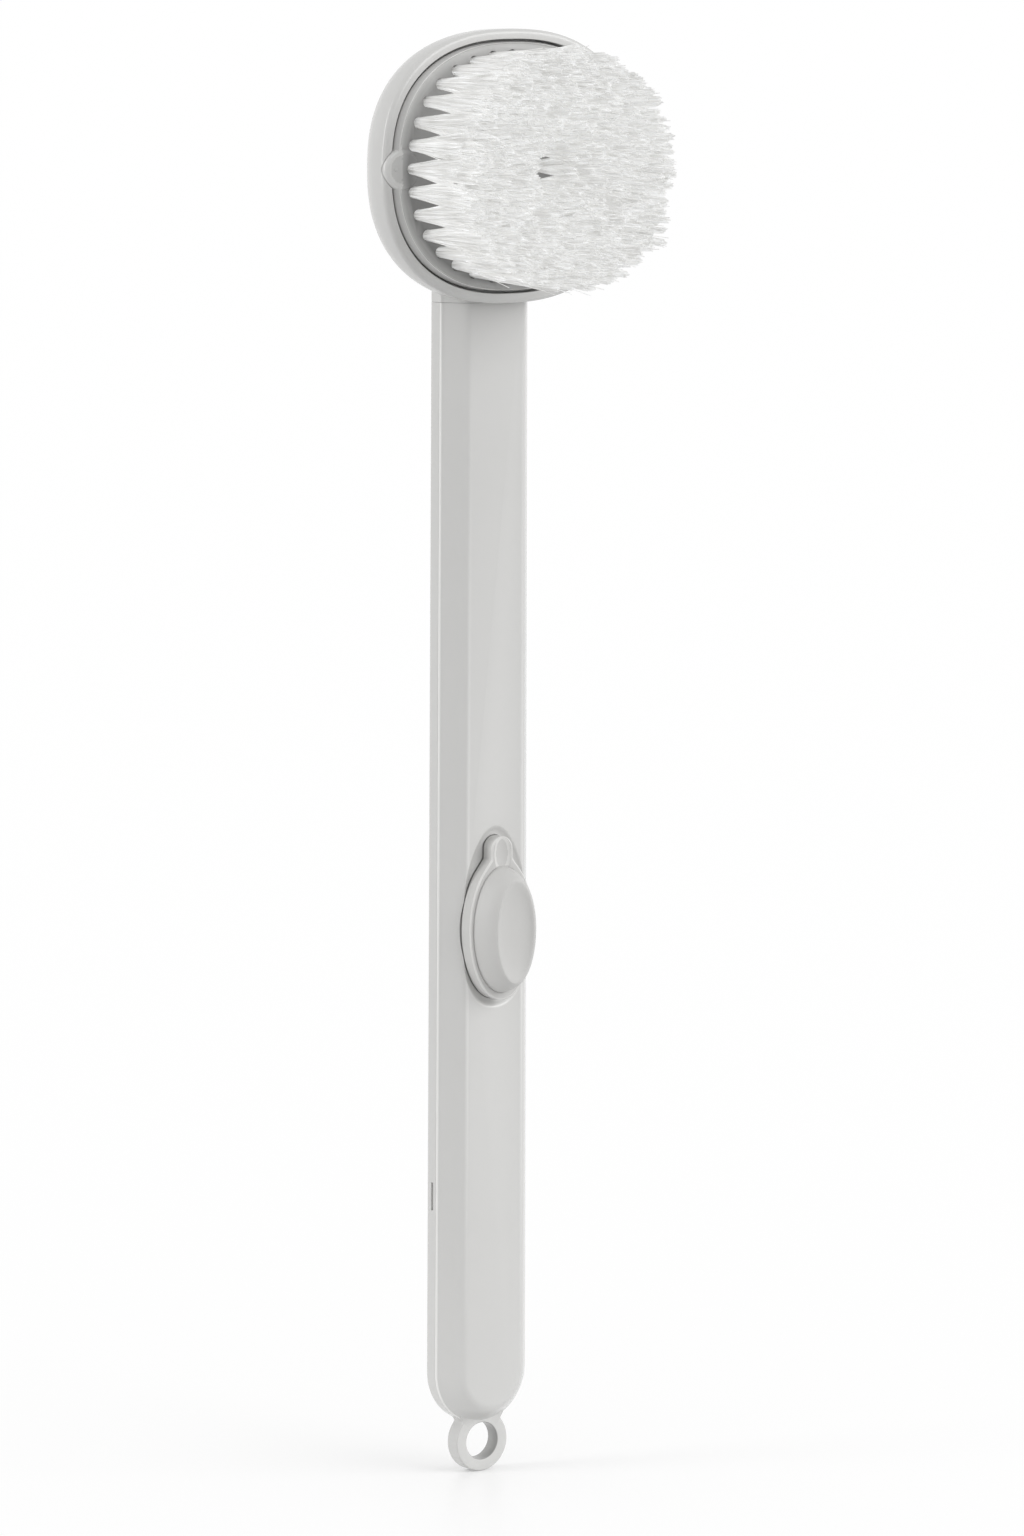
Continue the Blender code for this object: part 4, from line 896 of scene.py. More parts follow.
@dataclass
class HangingLoop:
    """The loop on the handle's end, with a soft flare where it leaves the handle."""

    form: HandleForm = field(default_factory=HandleForm)
    outer_radius: float = 7.9 * MM
    eye_radius: float = 4.8 * MM
    thickness: float = 4.4 * MM
    outer_rounding: float = 0.45 * MM
    eye_rounding: float = 0.35 * MM
    fillet: float = 1.0 * MM
    steps: int = 144
    corner_steps: int = 7
    sink: float = 1.0 * MM
    overlap: float = 0.2 * MM
    # Painted shade: in the eye, and a little on the outer side.
    eye_shade: float = 0.42
    side_shade: float = 0.1

    def reach(self, angle: float) -> float:
        """Work out the ring's outer radius in a direction, with the fillet to the handle.

        Args:
            angle: The direction from the eye's centre, 0 along +X, in radians.

        Returns:
            The outer radius.
        """
        end_radius = self.form.width_low / 2
        end_centre = self.form.end + end_radius
        near, far = self.outer_radius + self.fillet, end_radius + self.fillet
        height = (near ** 2 - far ** 2 + end_centre ** 2) / (2 * end_centre)
        centre = Vector((math.sqrt(near ** 2 - height ** 2), height))
        direction = Vector((abs(math.cos(angle)), math.sin(angle)))
        if math.atan2(direction.y, direction.x) <= centre.angle_signed(Vector((1.0, 0.0)), 0.0):
            return self.outer_radius
        along = centre.dot(direction)
        off = centre.length_squared - along ** 2
        most = self.outer_radius + 2 * self.sink
        return most if off >= self.fillet ** 2 else min(along - math.sqrt(self.fillet ** 2 - off), most)

    def section(self, angle: float) -> Outline:
        """Work out the ring's section in a direction: round outside, nearly sharp at the eye.

        Args:
            angle: The direction from the eye's centre, in radians.

        Returns:
            The closed section.
        """
        outer, half = self.reach(angle), self.thickness / 2
        round_out, round_in = self.outer_rounding, self.eye_rounding
        outside, inside = outer - round_out, self.eye_radius + round_in
        corners = ((outside, half - round_out, round_out), (inside, half - round_in, round_in),
                   (inside, round_in - half, round_in), (outside, round_out - half, round_out))
        outline = []
        for turned, (middle, depth, radius) in enumerate(corners):
            for step in range(self.corner_steps + 1):
                turn = math.pi / 2 * (turned + step / self.corner_steps)
                away = middle + radius * math.cos(turn)
                outline.append(Vector((
                    away * math.cos(angle), depth + radius * math.sin(turn), away * math.sin(angle))))
        return outline

    def depth(self, place: Vector) -> float:
        """Work out the painted shade on the loop.

        Args:
            place: The place.

        Returns:
            The painted shade: more in the eye, a little on the outer side, else 0.
        """
        away = math.hypot(place.x, place.z)
        if away < self.eye_radius + self.eye_rounding / 2:
            return self.eye_shade
        return self.side_shade if away > self.outer_radius - self.outer_rounding / 2 else 0.0

    def build(self) -> None:
        """Build the loop and end it inside the handle's walls."""
        skin = RingSkin()
        angles = [FULL_TURN * (index + 0.5) / self.steps - math.pi / 2 for index in range(self.steps)]
        first = skin.start(self.section(angles[0]))
        last = skin.grow(first, *[self.section(angle) for angle in angles[1:]])
        skin.join(first, last)
        loop = solid("loop", skin.closed())
        inset = self.form.wall - self.overlap
        hollow = loft(self.form.outline(inset, -self.thickness), self.form.outline(inset, self.thickness))
        carve(loop, Carve.CUT, solid("hollow", hollow))
        shade(loop, self.depth)
        dress(loop, SHELL_FINISH, Body.HANDLE, Slot.SHELL, "hanging_loop")


# Head


@dataclass
class HeadForm:
    """Sizes that the cup, the plate and the tufts share."""

    centre: float = 327.8 * MM
    half_width: float = 38.8 * MM
    half_height: float = 34.3 * MM
    exponent: float = 2.4
    lip: float = -13.25 * MM
    wall: float = 2.5 * MM
    floor: float = -8.7 * MM
    ear_radius: float = 5.3 * MM
    ear_gap: float = 0.1 * MM
    ear_centre: float = 33.4 * MM
    ear_steps: int = 72
    field: float = -13.45 * MM
    steps: int = 168

    def outline(self, inset: float, depth: float) -> Outline:
        """Return the cup's outline, drawn in by an inset."""
        return superellipse(self.half_width - inset, self.half_height - inset, depth, self.centre, self.steps,
                            self.exponent)


@dataclass
class HeadHousing:
    """The cup of the head with its neck block, seats and screw holes."""

    form: HandleForm = field(default_factory=HandleForm)
    head: HeadForm = field(default_factory=HeadForm)
    lip_rounding: float = 1.2 * MM
    lip_edge: float = 0.2 * MM
    straight: float = 3.4 * MM
    back: float = 4.0 * MM
    back_inset: float = 15.0 * MM
    seam: float = 293.5 * MM
    neck_height: float = 17.0 * MM
    socket_top: float = 306.5 * MM
    groove: float = 3.3 * MM
    feed_depth: float = -1.2 * MM
    ear_floor: float = -12.25 * MM
    screw_spacing: float = 12.0 * MM
    screw_height: float = 300.5 * MM
    well: tuple[float, float, int] = (-7.0 * MM, 2.5 * MM, 40)
    shank: tuple[float, float, int] = (-2.6 * MM, 1.4 * MM, 32)
    pocket: tuple[float, float, int] = (1.2 * MM, 4.8 * MM, 64)
    over: float = 2.0 * MM

    def cup(self) -> bpy.types.Object:
        """Build the plain cup: rounded lip, wall, domed back and flat floor.

        Returns:
            The cup.
        """
        head = self.head
        skin = RingSkin()
        crest = skin.start(head.outline(self.lip_rounding, head.lip))
        outer = [head.outline(self.lip_rounding * outwards, head.lip + self.lip_rounding * backwards)
                 for backwards, outwards in quarter(9)]
        start = head.lip + self.straight
        outer += [head.outline(self.back_inset * inwards, start + (self.back - start) * (1 - forwards))
                  for inwards, forwards in quarter(18, 0)]
        skin.fill(skin.grow(crest, *outer))
        inner = [head.outline(head.wall - self.lip_edge * inwards, head.lip + self.lip_edge * backwards)
                 for backwards, inwards in quarter(4, 0)]
        skin.fill(skin.grow(crest, *inner, head.outline(head.wall, head.floor)))
        return solid("head_cup", skin.closed())

    def build(self) -> None:
        """Build the cup, fuse the neck block and cut the seats."""
        form, head = self.form, self.head
        cup = self.cup()
        neck = loft(form.section(0.0, self.seam), form.section(0.0, self.seam + self.neck_height))
        carve(cup, Carve.FUSE, solid("neck", neck))
        inside = (form.front_depth - form.face_wall, form.back - form.wall)
        socket = loft(form.section(form.wall, self.seam - self.over, *inside),
                      form.section(form.wall, self.socket_top, *inside))
        cutters = {"socket": socket}
        for name in ("ears", "pocket", "groove", "wells", "shanks"):
            cutters[name] = bmesh.new()
        bores = [("pocket", 0.0, head.centre, self.pocket)]
        for sign in (-1, 1):
            add_bore(cutters["ears"], (sign * head.ear_centre, head.centre), head.lip - self.over,
                     self.ear_floor, head.ear_radius + head.ear_gap, head.ear_steps)
            side = sign * self.screw_spacing / 2
            bores.append(("wells", side, self.screw_height, self.well))
            bores.append(("shanks", side, self.screw_height, self.shank))
        for name, x, z, (end, radius, steps) in bores:
            add_bore(cutters[name], (x, z), head.floor - self.over, end, radius, steps)
        low = Vector((-self.groove, head.floor - self.over, self.socket_top - self.over))
        high = Vector((self.groove, self.feed_depth + self.groove, head.centre))
        add_box(cutters["groove"], (low + high) / 2, high - low)
        carve(cup, Carve.CUT, *[solid(name, mesh) for name, mesh in cutters.items()])
        dress(cup, SHELL_FINISH, Body.HANDLE, Slot.SHELL, "head_housing")


@dataclass
class BrushPlate:
    """The snap-in plate: bead, valley and slope round the tuft field, ears, outlet."""

    head: HeadForm = field(default_factory=HeadForm)
    gap: float = 0.62 * MM
    skirt: float = 1.3 * MM
    skirt_depth: float = 0.3 * MM
    rear: float = -9.0 * MM
    edge: float = -12.65 * MM
    field_half_width: float = 32.9 * MM
    field_half_height: float = 30.4 * MM
    field_exponent: float = 2.25
    ear_front: float = -13.93 * MM
    ear_depth: float = 1.6 * MM
    ear_rounding: float = 1.05 * MM
    ear_dish: tuple[float, float, float] = (5.0 * MM, 1.1 * MM, 5.0 * MM)
    ear_dish_rise: float = 0.6 * MM
    bump_radius: float = 0.9 * MM
    bump_rise: float = 0.32 * MM
    bump_offset: float = 2.0 * MM
    nose_bore: float = 3.0 * MM
    nose_depth: float = 2.1 * MM
    socket_bore: float = 3.5 * MM
    socket_depth: float = 1.1 * MM
    bore_steps: int = 64
    hole_radius: float = 1.3 * MM
    hole_mouth: float = 1.55 * MM
    hole_depth: float = 0.9 * MM
    hole_over: float = 0.5 * MM
    hole_steps: int = 24
    # Painted light on the plate: painted shade in the tuft holes, on the floor by the tufts, on the back and
    # inside the ears, and painted highlights on the bead's crest and round the ears.
    hole_shade: tuple[float, float] = (0.2 * MM, 1.0 * MM)
    over: float = 2.0 * MM
    floor_shade: float = 0.66
    floor_lower: float = 0.42
    floor_lowest: float = 1.1
    floor_fade: tuple[float, float] = (1.15, 0.25)
    back_start: float = 0.1 * MM
    # Painted shade on the back of the plate, which shows through the seam.
    back_depth: float = 0.12
    crest: float = -13.86 * MM
    crest_highlight: float = 0.08
    ear_bead: float = 3.5 * MM
    ear_shade_inside: float = 0.1
    rim: Profile = (
        (0.0, 0.0), (0.01, 0.12), (0.06, 0.40), (0.16, 0.92), (0.26, 1.38), (0.33, 1.57), (0.37, 1.60),
        (0.42, 1.54), (0.50, 1.28), (0.60, 1.07), (0.74, 1.0), (1.0, 1.0),
    )

    def blend(self, share: float, depth: float) -> Outline:
        """Work out an outline between the plate's edge and its field.

        Args:
            share: How far it is on the way from the edge to the field.
            depth: Its Y.

        Returns:
            The closed outline.
        """
        inset = self.head.wall + self.gap
        edge = (self.head.half_width - inset, self.head.half_height - inset, self.head.exponent)
        inner = (self.field_half_width, self.field_half_height, self.field_exponent)
        wide, tall, exponent = (a + (b - a) * share for a, b in zip(edge, inner))
        return superellipse(wide, tall, depth, self.head.centre, self.head.steps, exponent)

    def depth(self, place: Vector) -> float:
        """Work out the painted light on the plate.

        Args:
            place: The place.

        Returns:
            The painted light: shade of 1 in the holes, less on the floor by the tufts, darker towards the
                bottom of the floor, inside the ears and on the back, and below 0, as a painted highlight, on
                the bead's crest and round the ears' rims.
        """
        head, x, up = self.head, abs(place.x), place.z - self.head.centre
        reach = ((x / self.field_half_width) ** self.field_exponent
                 + (abs(up) / self.field_half_height) ** self.field_exponent)
        if reach < 1.0 and self.hole_shade[0] < place.y - head.field < self.hole_shade[1]:
            return 1.0
        if place.y > self.edge + self.back_start:
            return self.back_depth
        if place.y < self.crest and (abs(up) > head.ear_radius or x < head.ear_centre / 2):
            return -self.crest_highlight
        from_ear = math.hypot(x - head.ear_centre, up)
        if from_ear < head.ear_radius and x > head.ear_centre:
            return self.ear_shade_inside if from_ear < self.ear_bead else -self.crest_highlight
        lower = min(1 - self.floor_lower * up / self.field_half_height, self.floor_lowest)
        end, width = self.floor_fade
        return self.floor_shade * lower * min(max((end - reach) / width, 0.0), 1.0)

    def add_ear(self, plate: bpy.types.Object, sign: int) -> None:
        """Fuse one ear with the plate, dish it and set its bump.

        Args:
            plate: The plate.
            sign: 1 for the ear towards +X, -1 for the other.
        """
        head = self.head
        ear = bmesh.new()
        centre = sign * head.ear_centre
        verts = add_bore(ear, (centre, head.centre), self.ear_front + self.ear_depth, self.ear_front,
                         head.ear_radius, head.ear_steps)
        front = min(vertex.co.y for vertex in verts)
        rim = [edge for edge in ear.edges if all(abs(v.co.y - front) < TOLERANCE for v in edge.verts)]
        bmesh.ops.bevel(ear, geom=rim, offset=self.ear_rounding, segments=6, profile=0.5, affect="EDGES",
                        material=-1)
        carve(plate, Carve.FUSE, solid("ear", ear))
        carve(plate, Carve.CUT, ball(
            "ear_dish", (centre, self.ear_front - self.ear_dish_rise, head.centre), self.ear_dish, 48))
        carve(plate, Carve.FUSE, ball(
            "ear_bump", (centre + sign * self.bump_offset, head.field + self.bump_radius - self.bump_rise,
                         head.centre), [self.bump_radius] * 3, 24))

    def build(self, roots: Sequence[Vector]) -> None:
        """Build the plate.

        Args:
            roots: Where the tufts stand, in the field's plane.
        """
        head = self.head
        rise = self.edge - head.field
        side = head.wall + self.gap
        outlines = [head.outline(side + self.skirt, self.rear),
                    head.outline(side + self.skirt, self.edge + self.skirt_depth),
                    head.outline(side, self.edge + self.skirt_depth)]
        outlines += [self.blend(share, self.edge - rise * up) for share, up in eased(self.rim, 4)]
        plate = solid("plate", loft(*outlines))
        for sign in (-1, 1):
            self.add_ear(plate, sign)
        holes, bores, sockets = bmesh.new(), bmesh.new(), bmesh.new()
        for root in roots:
            add_bore(holes, (root.x, root.z), head.field + self.hole_depth, head.field - self.hole_over,
                     self.hole_radius, self.hole_steps, self.hole_mouth)
        add_bore(bores, (0.0, head.centre), head.field + self.nose_depth, head.field - self.over,
                 self.nose_bore, self.bore_steps)
        add_bore(sockets, (0.0, head.centre), self.rear + self.over, head.field + self.socket_depth,
                 self.socket_bore, self.bore_steps)
        carve(plate, Carve.CUT, solid("holes", holes), solid("bores", bores), solid("sockets", sockets))
        shade(plate, self.depth)
        dress(plate, SHELL_FINISH, Body.HEAD, Slot.SHELL, "brush_plate")


def scatter(chance: random.Random, spread: float) -> Vector:
    """Return a random step across the tufts."""
    return Vector((chance.gauss(0, spread), 0.0, chance.gauss(0, spread)))


def on_circle(radius: float, angle: float) -> Vector:
    """Return a place on a circle across the tufts."""
    return Vector((radius * math.cos(angle), 0.0, radius * math.sin(angle)))


@dataclass
class TuftField:
    """Rings of tufts of fine filaments round the soap outlet."""

    head: HeadForm = field(default_factory=HeadForm)
    half_width: float = 30.3 * MM
    half_height: float = 27.8 * MM
    exponent: float = 2.25
    ring_count: int = 5
    step_x: float = 5.757 * MM
    step_z: float = 5.282 * MM
    pitch: float = 5.75 * MM
    samples: int = 720
    seed: int = 7
    length: float = 28.5 * MM
    length_spread: float = 0.4 * MM
    tuft_lean: float = 0.35 * MM
    partings: tuple[tuple[float, float, float, float], ...] = ((3.2, -15.6, 4.6, 1.5), (-14.0, 9.0, 3.6, 0.8))
    centre_reach: float = 9.0 * MM
    centre_closing: float = -1.1 * MM
    centre_lean: Vector = field(default_factory=lambda: Vector((-2.4 * MM, 0.0, 0.3 * MM)))
    clumps: int = 9
    clump_reach: tuple[float, float] = (0.5, 0.92)
    clump_turn: float = 0.25
    clump_lean: float = 0.45 * MM
    gather: float = 0.5
    raggedness: float = 5.5 * MM
    ragged_power: float = 1.3
    strands: int = 310
    strand_radius: float = 0.125 * MM
    strand_taper: tuple[float, float] = (0.2, 3)
    strand_sides: int = 3
    strand_turn: float = 0.12
    strand_tone: tuple[float, float] = (1.025, 0.065)
    crown: tuple[float, float] = (3.4 * MM, 1.2)
    tip_spread: float = 0.7 * MM
    root_depth: float = 0.8 * MM
    root_share: float = 0.05
    bend: float = 0.26 * MM
    stray_share: float = 0.04
    stray_bend: float = 4.0
    bend_power: float = 2.2
    lean_power: float = 1.6
    outer_most: tuple[float, float] = (1.3 * MM, 0.35 * MM)
    piece_faces: int = 190000
    strand_faces: int = 32
    swell: Profile = ((0.0, 1.34), (0.05, 1.42), (0.22, 1.9), (0.46, 2.75), (0.74, 3.25), (1.0, 3.6))

    def roots(self) -> list[list[Vector]]:
        """Work out where the tufts stand.

        Returns:
            Their places in the field's plane, ring by ring from the outside.
        """
        rings = []
        for index in range(self.ring_count):
            line = superellipse(self.half_width - self.step_x * index, self.half_height - self.step_z * index,
                                self.head.field, self.head.centre, self.samples, self.exponent)
            line.append(line[0])
            travelled = [0.0]
            for first, second in zip(line, line[1:]):
                travelled.append(travelled[-1] + (second - first).length)
            count = round(travelled[-1] / self.pitch)
            places, at = [], 0
            for number in range(count):
                target = travelled[-1] * number / count
                while travelled[at + 1] < target:
                    at += 1
                share = (target - travelled[at]) / (travelled[at + 1] - travelled[at])
                places.append(line[at].lerp(line[at + 1], share))
            rings.append(places)
        return rings

    def strand(self, chance: random.Random, root: Vector, places: tuple[Vector, Vector], length: float,
               lean: Vector, outer: bool) -> list[Vector]:
        """Work out one filament.

        Args:
            chance: The seeded source of unevenness.
            root: The tuft's place.
            places: The filament's places in the tuft's unit circle, at the root and at the tip.
            length: The filament's length.
            lean: How far the filament leans at its tip.
            outer: Whether the tuft stands in the outermost ring.

        Returns:
            Its points from the root to the tip.
        """
        outwards = Vector((root.x, 0.0, root.z - self.head.centre)).normalized()
        bend = scatter(chance, self.bend)
        if chance.random() < self.stray_share:
            bend *= self.stray_bend
        points = []
        for share, radius in self.swell:
            offset = places[0].lerp(places[1], share * share) * radius * MM
            out = offset.dot(outwards)
            if outer and out > 0:
                most = self.outer_most[0] + self.outer_most[1] * share
                offset += outwards * (most * math.tanh(out / most) - out)
            offset += bend * share ** self.bend_power + lean * share ** self.lean_power
            sunk = self.root_depth * (1 - min(share / self.root_share, 1.0))
            depth = self.head.field + sunk - length * share
            points.append(Vector((root.x + offset.x, depth, root.z + offset.z)))
        return points

    def lean(self, chance: random.Random, root: Vector) -> Vector:
        """Work out how far a tuft leans: a little at random, and away from each parting.

        Args:
            chance: The seeded source of unevenness.
            root: The tuft's place.

        Returns:
            The step sideways at the tips.
        """
        lean = scatter(chance, self.tuft_lean)
        for across, along, reach, push in self.partings:
            away = Vector((root.x - across * MM, 0.0, root.z - self.head.centre - along * MM))
            if away.length < reach * MM:
                lean += away.normalized() * push * MM
        away = Vector((root.x, 0.0, root.z - self.head.centre))
        if away.length < self.centre_reach:
            lean += self.centre_lean - away.normalized() * self.centre_closing
        return lean

    def tuft(self, chance: random.Random, root: Vector, outer: bool) -> list[list[Vector]]:
        """Work out one tuft, gathered into clumps whose tips differ.

        Args:
            chance: The seeded source of unevenness.
            root: The tuft's place.
            outer: Whether the tuft stands in the outermost ring.

        Returns:
            The points of each filament.
        """
        tall = self.length - abs(chance.gauss(0, self.length_spread))
        lean = self.lean(chance, root)
        clumps = []
        for index in range(self.clumps):
            radius = 0.0 if index == 0 else chance.uniform(*self.clump_reach)
            middle = on_circle(radius, index * GOLDEN_TURN + chance.gauss(0, self.clump_turn))
            shift = scatter(chance, self.clump_lean)
            clumps.append((middle, lean + shift, self.raggedness * chance.random() ** self.ragged_power))
        filaments = []
        for index in range(self.strands):
            radius = math.sqrt((index + 0.5) / self.strands)
            place = on_circle(radius, index * GOLDEN_TURN + chance.gauss(0, self.strand_turn))
            middle, shift, short = min(clumps, key=lambda clump: (clump[0] - place).length)
            lower = self.crown[0] * (place - middle).length ** self.crown[1]
            length = tall - short - lower - abs(chance.gauss(0, self.tip_spread))
            tip = place.lerp(middle, self.gather)
            filaments.append(self.strand(chance, root, (place, tip), length, shift, outer))
        return filaments

    def piece(self, name: str, filaments: list[list[Vector]], tones: list[float], node: str) -> None:
        """Turn filaments into one mesh piece, through a curve with a three-sided section.

        Args:
            name: The piece's name.
            filaments: The points of each filament.
            tones: The tone of each filament.
            node: The CAD node that it stands for.
        """
        section = bpy.data.curves.new(name + "_section", "CURVE")
        section.dimensions = "2D"
        corner = section.splines.new("POLY")
        corner.points.add(self.strand_sides - 1)
        corner.use_cyclic_u = True
        for index, point in enumerate(corner.points):
            angle = FULL_TURN * index / self.strand_sides
            point.co = (math.cos(angle), math.sin(angle), 0.0, 1.0)
        section_item = new_object(section.name, section)
        curve = bpy.data.curves.new(name + "_lines", "CURVE")
        curve.dimensions = "3D"
        curve.bevel_mode = "OBJECT"
        curve.bevel_object = section_item
        curve.use_fill_caps = True
        count = len(self.swell)
        loss, power = self.strand_taper
        taper = [self.strand_radius * (1.0 - loss * (step / (count - 1)) ** power) for step in range(count)]
        for filament in filaments:
            spline = curve.splines.new("POLY")
            spline.points.add(count - 1)
            spline.points.foreach_set("co", [value for point in filament for value in (*point, 1.0)])
            spline.points.foreach_set("radius", taper)
        item = new_object(name + "_lines", curve)
        mesh = evaluated_mesh(item)
        mesh.name = name
        bpy.data.objects.remove(item, do_unlink=True)
        bpy.data.objects.remove(section_item, do_unlink=True)
        points = len(mesh.vertices)
        per_strand = points // len(filaments)
        per_point = per_strand // count
        for label, values in (
            ("reach", [self.swell[index % per_strand // per_point][0] for index in range(points)]),
            ("tone", [tones[index // per_strand] for index in range(points)]),
        ):
            mesh.attributes.new(label, "FLOAT", "POINT").data.foreach_set("value", values)
        dress(new_object(name, mesh), BRISTLE_FINISH, Body.HEAD, Slot.BRISTLE, node, sharp=75.0)

    def build(self) -> None:
        """Build every ring, the large ones in pieces of a size that exports whole."""
        chance = random.Random(self.seed)
        most = self.piece_faces // (self.strands * self.strand_faces)
        middle, spread = self.strand_tone
        for index, ring in enumerate(self.roots()):
            parts = math.ceil(len(ring) / most)
            size = math.ceil(len(ring) / parts)
            for part in range(parts):
                filaments = []
                for root in ring[part * size:(part + 1) * size]:
                    filaments += self.tuft(chance, root, index == 0)
                tones = [middle - abs(chance.gauss(0, spread)) for _ in filaments]
                self.piece(f"tufts_{index + 1}_{part + 1}", filaments, tones, f"bristle_ring_{index + 1}")


# Refill plug and pump button


@dataclass
class PlugForm:
    """Sizes that the refill plug and the pump button share."""

    height: float = 134.2 * MM
    half_width: float = 10.0 * MM
    half_height: float = 18.2 * MM
    rear: float = -6.3 * MM
    front: float = -10.5 * MM
    crease: float = -10.05 * MM
    button_half_width: float = 8.9 * MM
    button_half_height: float = 16.2 * MM
    steps: int = 112

    def oval(self, inset: float, depth: float) -> Outline:
        """Return the button's outline, drawn in by an inset."""
        return superellipse(self.button_half_width - inset, self.button_half_height - inset, depth,
                            self.height, self.steps)


@dataclass
class RefillPlug:
    """The silicone plug: keyhole flange with a pull tab, a well and a sleeve."""

    plug: PlugForm = field(default_factory=PlugForm)
    tab_half_width: float = 3.3 * MM
    tab_reach: float = 23.8 * MM
    tab_fillet: float = 2.6 * MM
    neck_turn: float = 60.0
    steps: tuple[int, int, int] = (52, 16, 16)
    rounding: float = 0.62 * MM
    dish: tuple[float, float, float] = (3.2 * MM, 1.7 * MM, 6.4 * MM)
    dish_rise: float = 1.0 * MM
    dish_height: float = 19.4 * MM
    sleeve_half_width: float = 6.1 * MM
    sleeve_half_height: float = 12.7 * MM
    sleeve_wall: float = 1.4 * MM
    sleeve_rear: float = -3.9 * MM
    well_floor: float = -7.0 * MM
    # Painted highlight on the flange's rounded edge: the band in front of the plug's front where it is drawn,
    # and how much paler.
    highlight_band: tuple[float, float] = (0.02 * MM, 0.4 * MM)
    edge_highlight: float = 0.26
    lip: float = 0.17 * MM
    crease_gap: float = 0.04 * MM
    side: Profile = ((0.26, 0.0), (0.22, 0.04), (0.08, 0.10), (0.0, 0.2), (0.0, 0.5), (0.0, 1.0))

    def half_width(self, height: float, inset: float) -> float:
        """Work out half the flange's width at a height over its centre.

        Args:
            height: The height over the flange's centre.
            inset: How far the outline is drawn in.

        Returns:
            Half the width: an oval, a soft neck and a round tab.
        """
        wide, tall = self.plug.half_width - inset, self.plug.half_height - inset
        tab = self.tab_half_width - inset
        tab_centre = self.tab_reach - self.tab_half_width
        share = min(abs(height) / tall, 1.0)
        oval = wide * math.sqrt(1 - share * share)
        if height < tall / 2:
            return oval
        above = max(height - tab_centre, 0.0)
        top = math.sqrt(max(tab * tab - above * above, 0.0))
        overlap = max(self.tab_fillet - abs(oval - top), 0.0) if height <= tab_centre else 0.0
        return max(oval, top) + overlap * overlap / (4 * self.tab_fillet)

    def keyhole(self, inset: float, depth: float) -> Outline:
        """Work out the keyhole outline.

        Args:
            inset: How far it is drawn in.
            depth: Its Y.

        Returns:
            The closed outline.
        """
        tall, tab = self.plug.half_height - inset, self.tab_half_width - inset
        tab_centre = self.tab_reach - self.tab_half_width
        turn = math.radians(self.neck_turn)
        low = tall * math.sin(turn)
        oval_steps, neck_steps, tab_steps = self.steps
        heights = [tall * math.sin(-math.pi / 2 + (math.pi / 2 + turn) * index / oval_steps)
                   for index in range(1, oval_steps + 1)]
        heights += [low + (tab_centre - low) * index / neck_steps for index in range(1, neck_steps + 1)]
        heights += [tab_centre + tab * math.sin(math.pi / 2 * index / tab_steps)
                    for index in range(1, tab_steps)]
        right = [(self.half_width(height, inset), height) for height in heights]
        left = [(-x, height) for x, height in reversed(right)]
        outline = [(0.0, -tall), *right, (0.0, tab_centre + tab), *left]
        return [Vector((x, depth, self.plug.height + height)) for x, height in outline]

    def sleeve(self, inset: float, depth: float) -> Outline:
        """Return the sleeve's outline, drawn in by an inset."""
        return superellipse(self.sleeve_half_width - inset, self.sleeve_half_height - inset, depth,
                            self.plug.height, self.plug.steps)

    def depth(self, place: Vector) -> float:
        """Work out the painted highlight on the plug, whose rounded edge is drawn paler.

        Args:
            place: The place.

        Returns:
            The painted light value, below 0 on the rounding round the edge and 0 away from it.
        """
        plug, (near, far) = self.plug, self.highlight_band
        inside = math.hypot(place.x / (plug.half_width - self.rounding),
                            (place.z - plug.height) / (plug.half_height - self.rounding))
        outside = inside > 1.0 or place.z > plug.height + plug.button_half_height
        return -self.edge_highlight if outside and near < place.y - plug.front < far else 0.0

    def build(self) -> None:
        """Build the plug as one closed skin, then dish its tab."""
        plug = self.plug
        skin = RingSkin()
        edge = plug.front + self.rounding
        side = skin.start(self.keyhole(self.side[0][0] * MM, plug.rear))
        rising = [self.keyhole(inset * MM, plug.rear + (edge - plug.rear) * share)
                  for inset, share in eased(self.side, 2)[1:]]
        rising += [self.keyhole(self.rounding * inwards, plug.front + self.rounding * backwards)
                   for inwards, backwards in quarter(8)]
        flange = skin.grow(side, *rising)
        well_edge = skin.start(plug.oval(-self.crease_gap - self.lip, plug.front))
        skin.fill(flange, well_edge)
        falling = [plug.oval(-self.crease_gap - self.lip * outwards, plug.front + self.lip * backwards)
                   for backwards, outwards in quarter(6)]
        well = skin.grow(well_edge, *falling, plug.oval(-self.crease_gap, self.well_floor))
        bore = skin.start(self.sleeve(self.sleeve_wall, self.well_floor))
        skin.fill(well, bore)
        sleeve = skin.grow(bore, self.sleeve(self.sleeve_wall, self.sleeve_rear),
                           self.sleeve(0.0, self.sleeve_rear), self.sleeve(0.0, plug.rear))
        skin.fill(side, sleeve)
        item = solid("plug_flange", skin.closed())
        centre = (0.0, plug.front - self.dish_rise, plug.height + self.dish_height)
        carve(item, Carve.CUT, ball("dish", centre, self.dish, 64))
        shade(item, self.depth)
        dress(item, SILICONE_FINISH, Body.PLUG, Slot.SILICONE, "refill_plug")


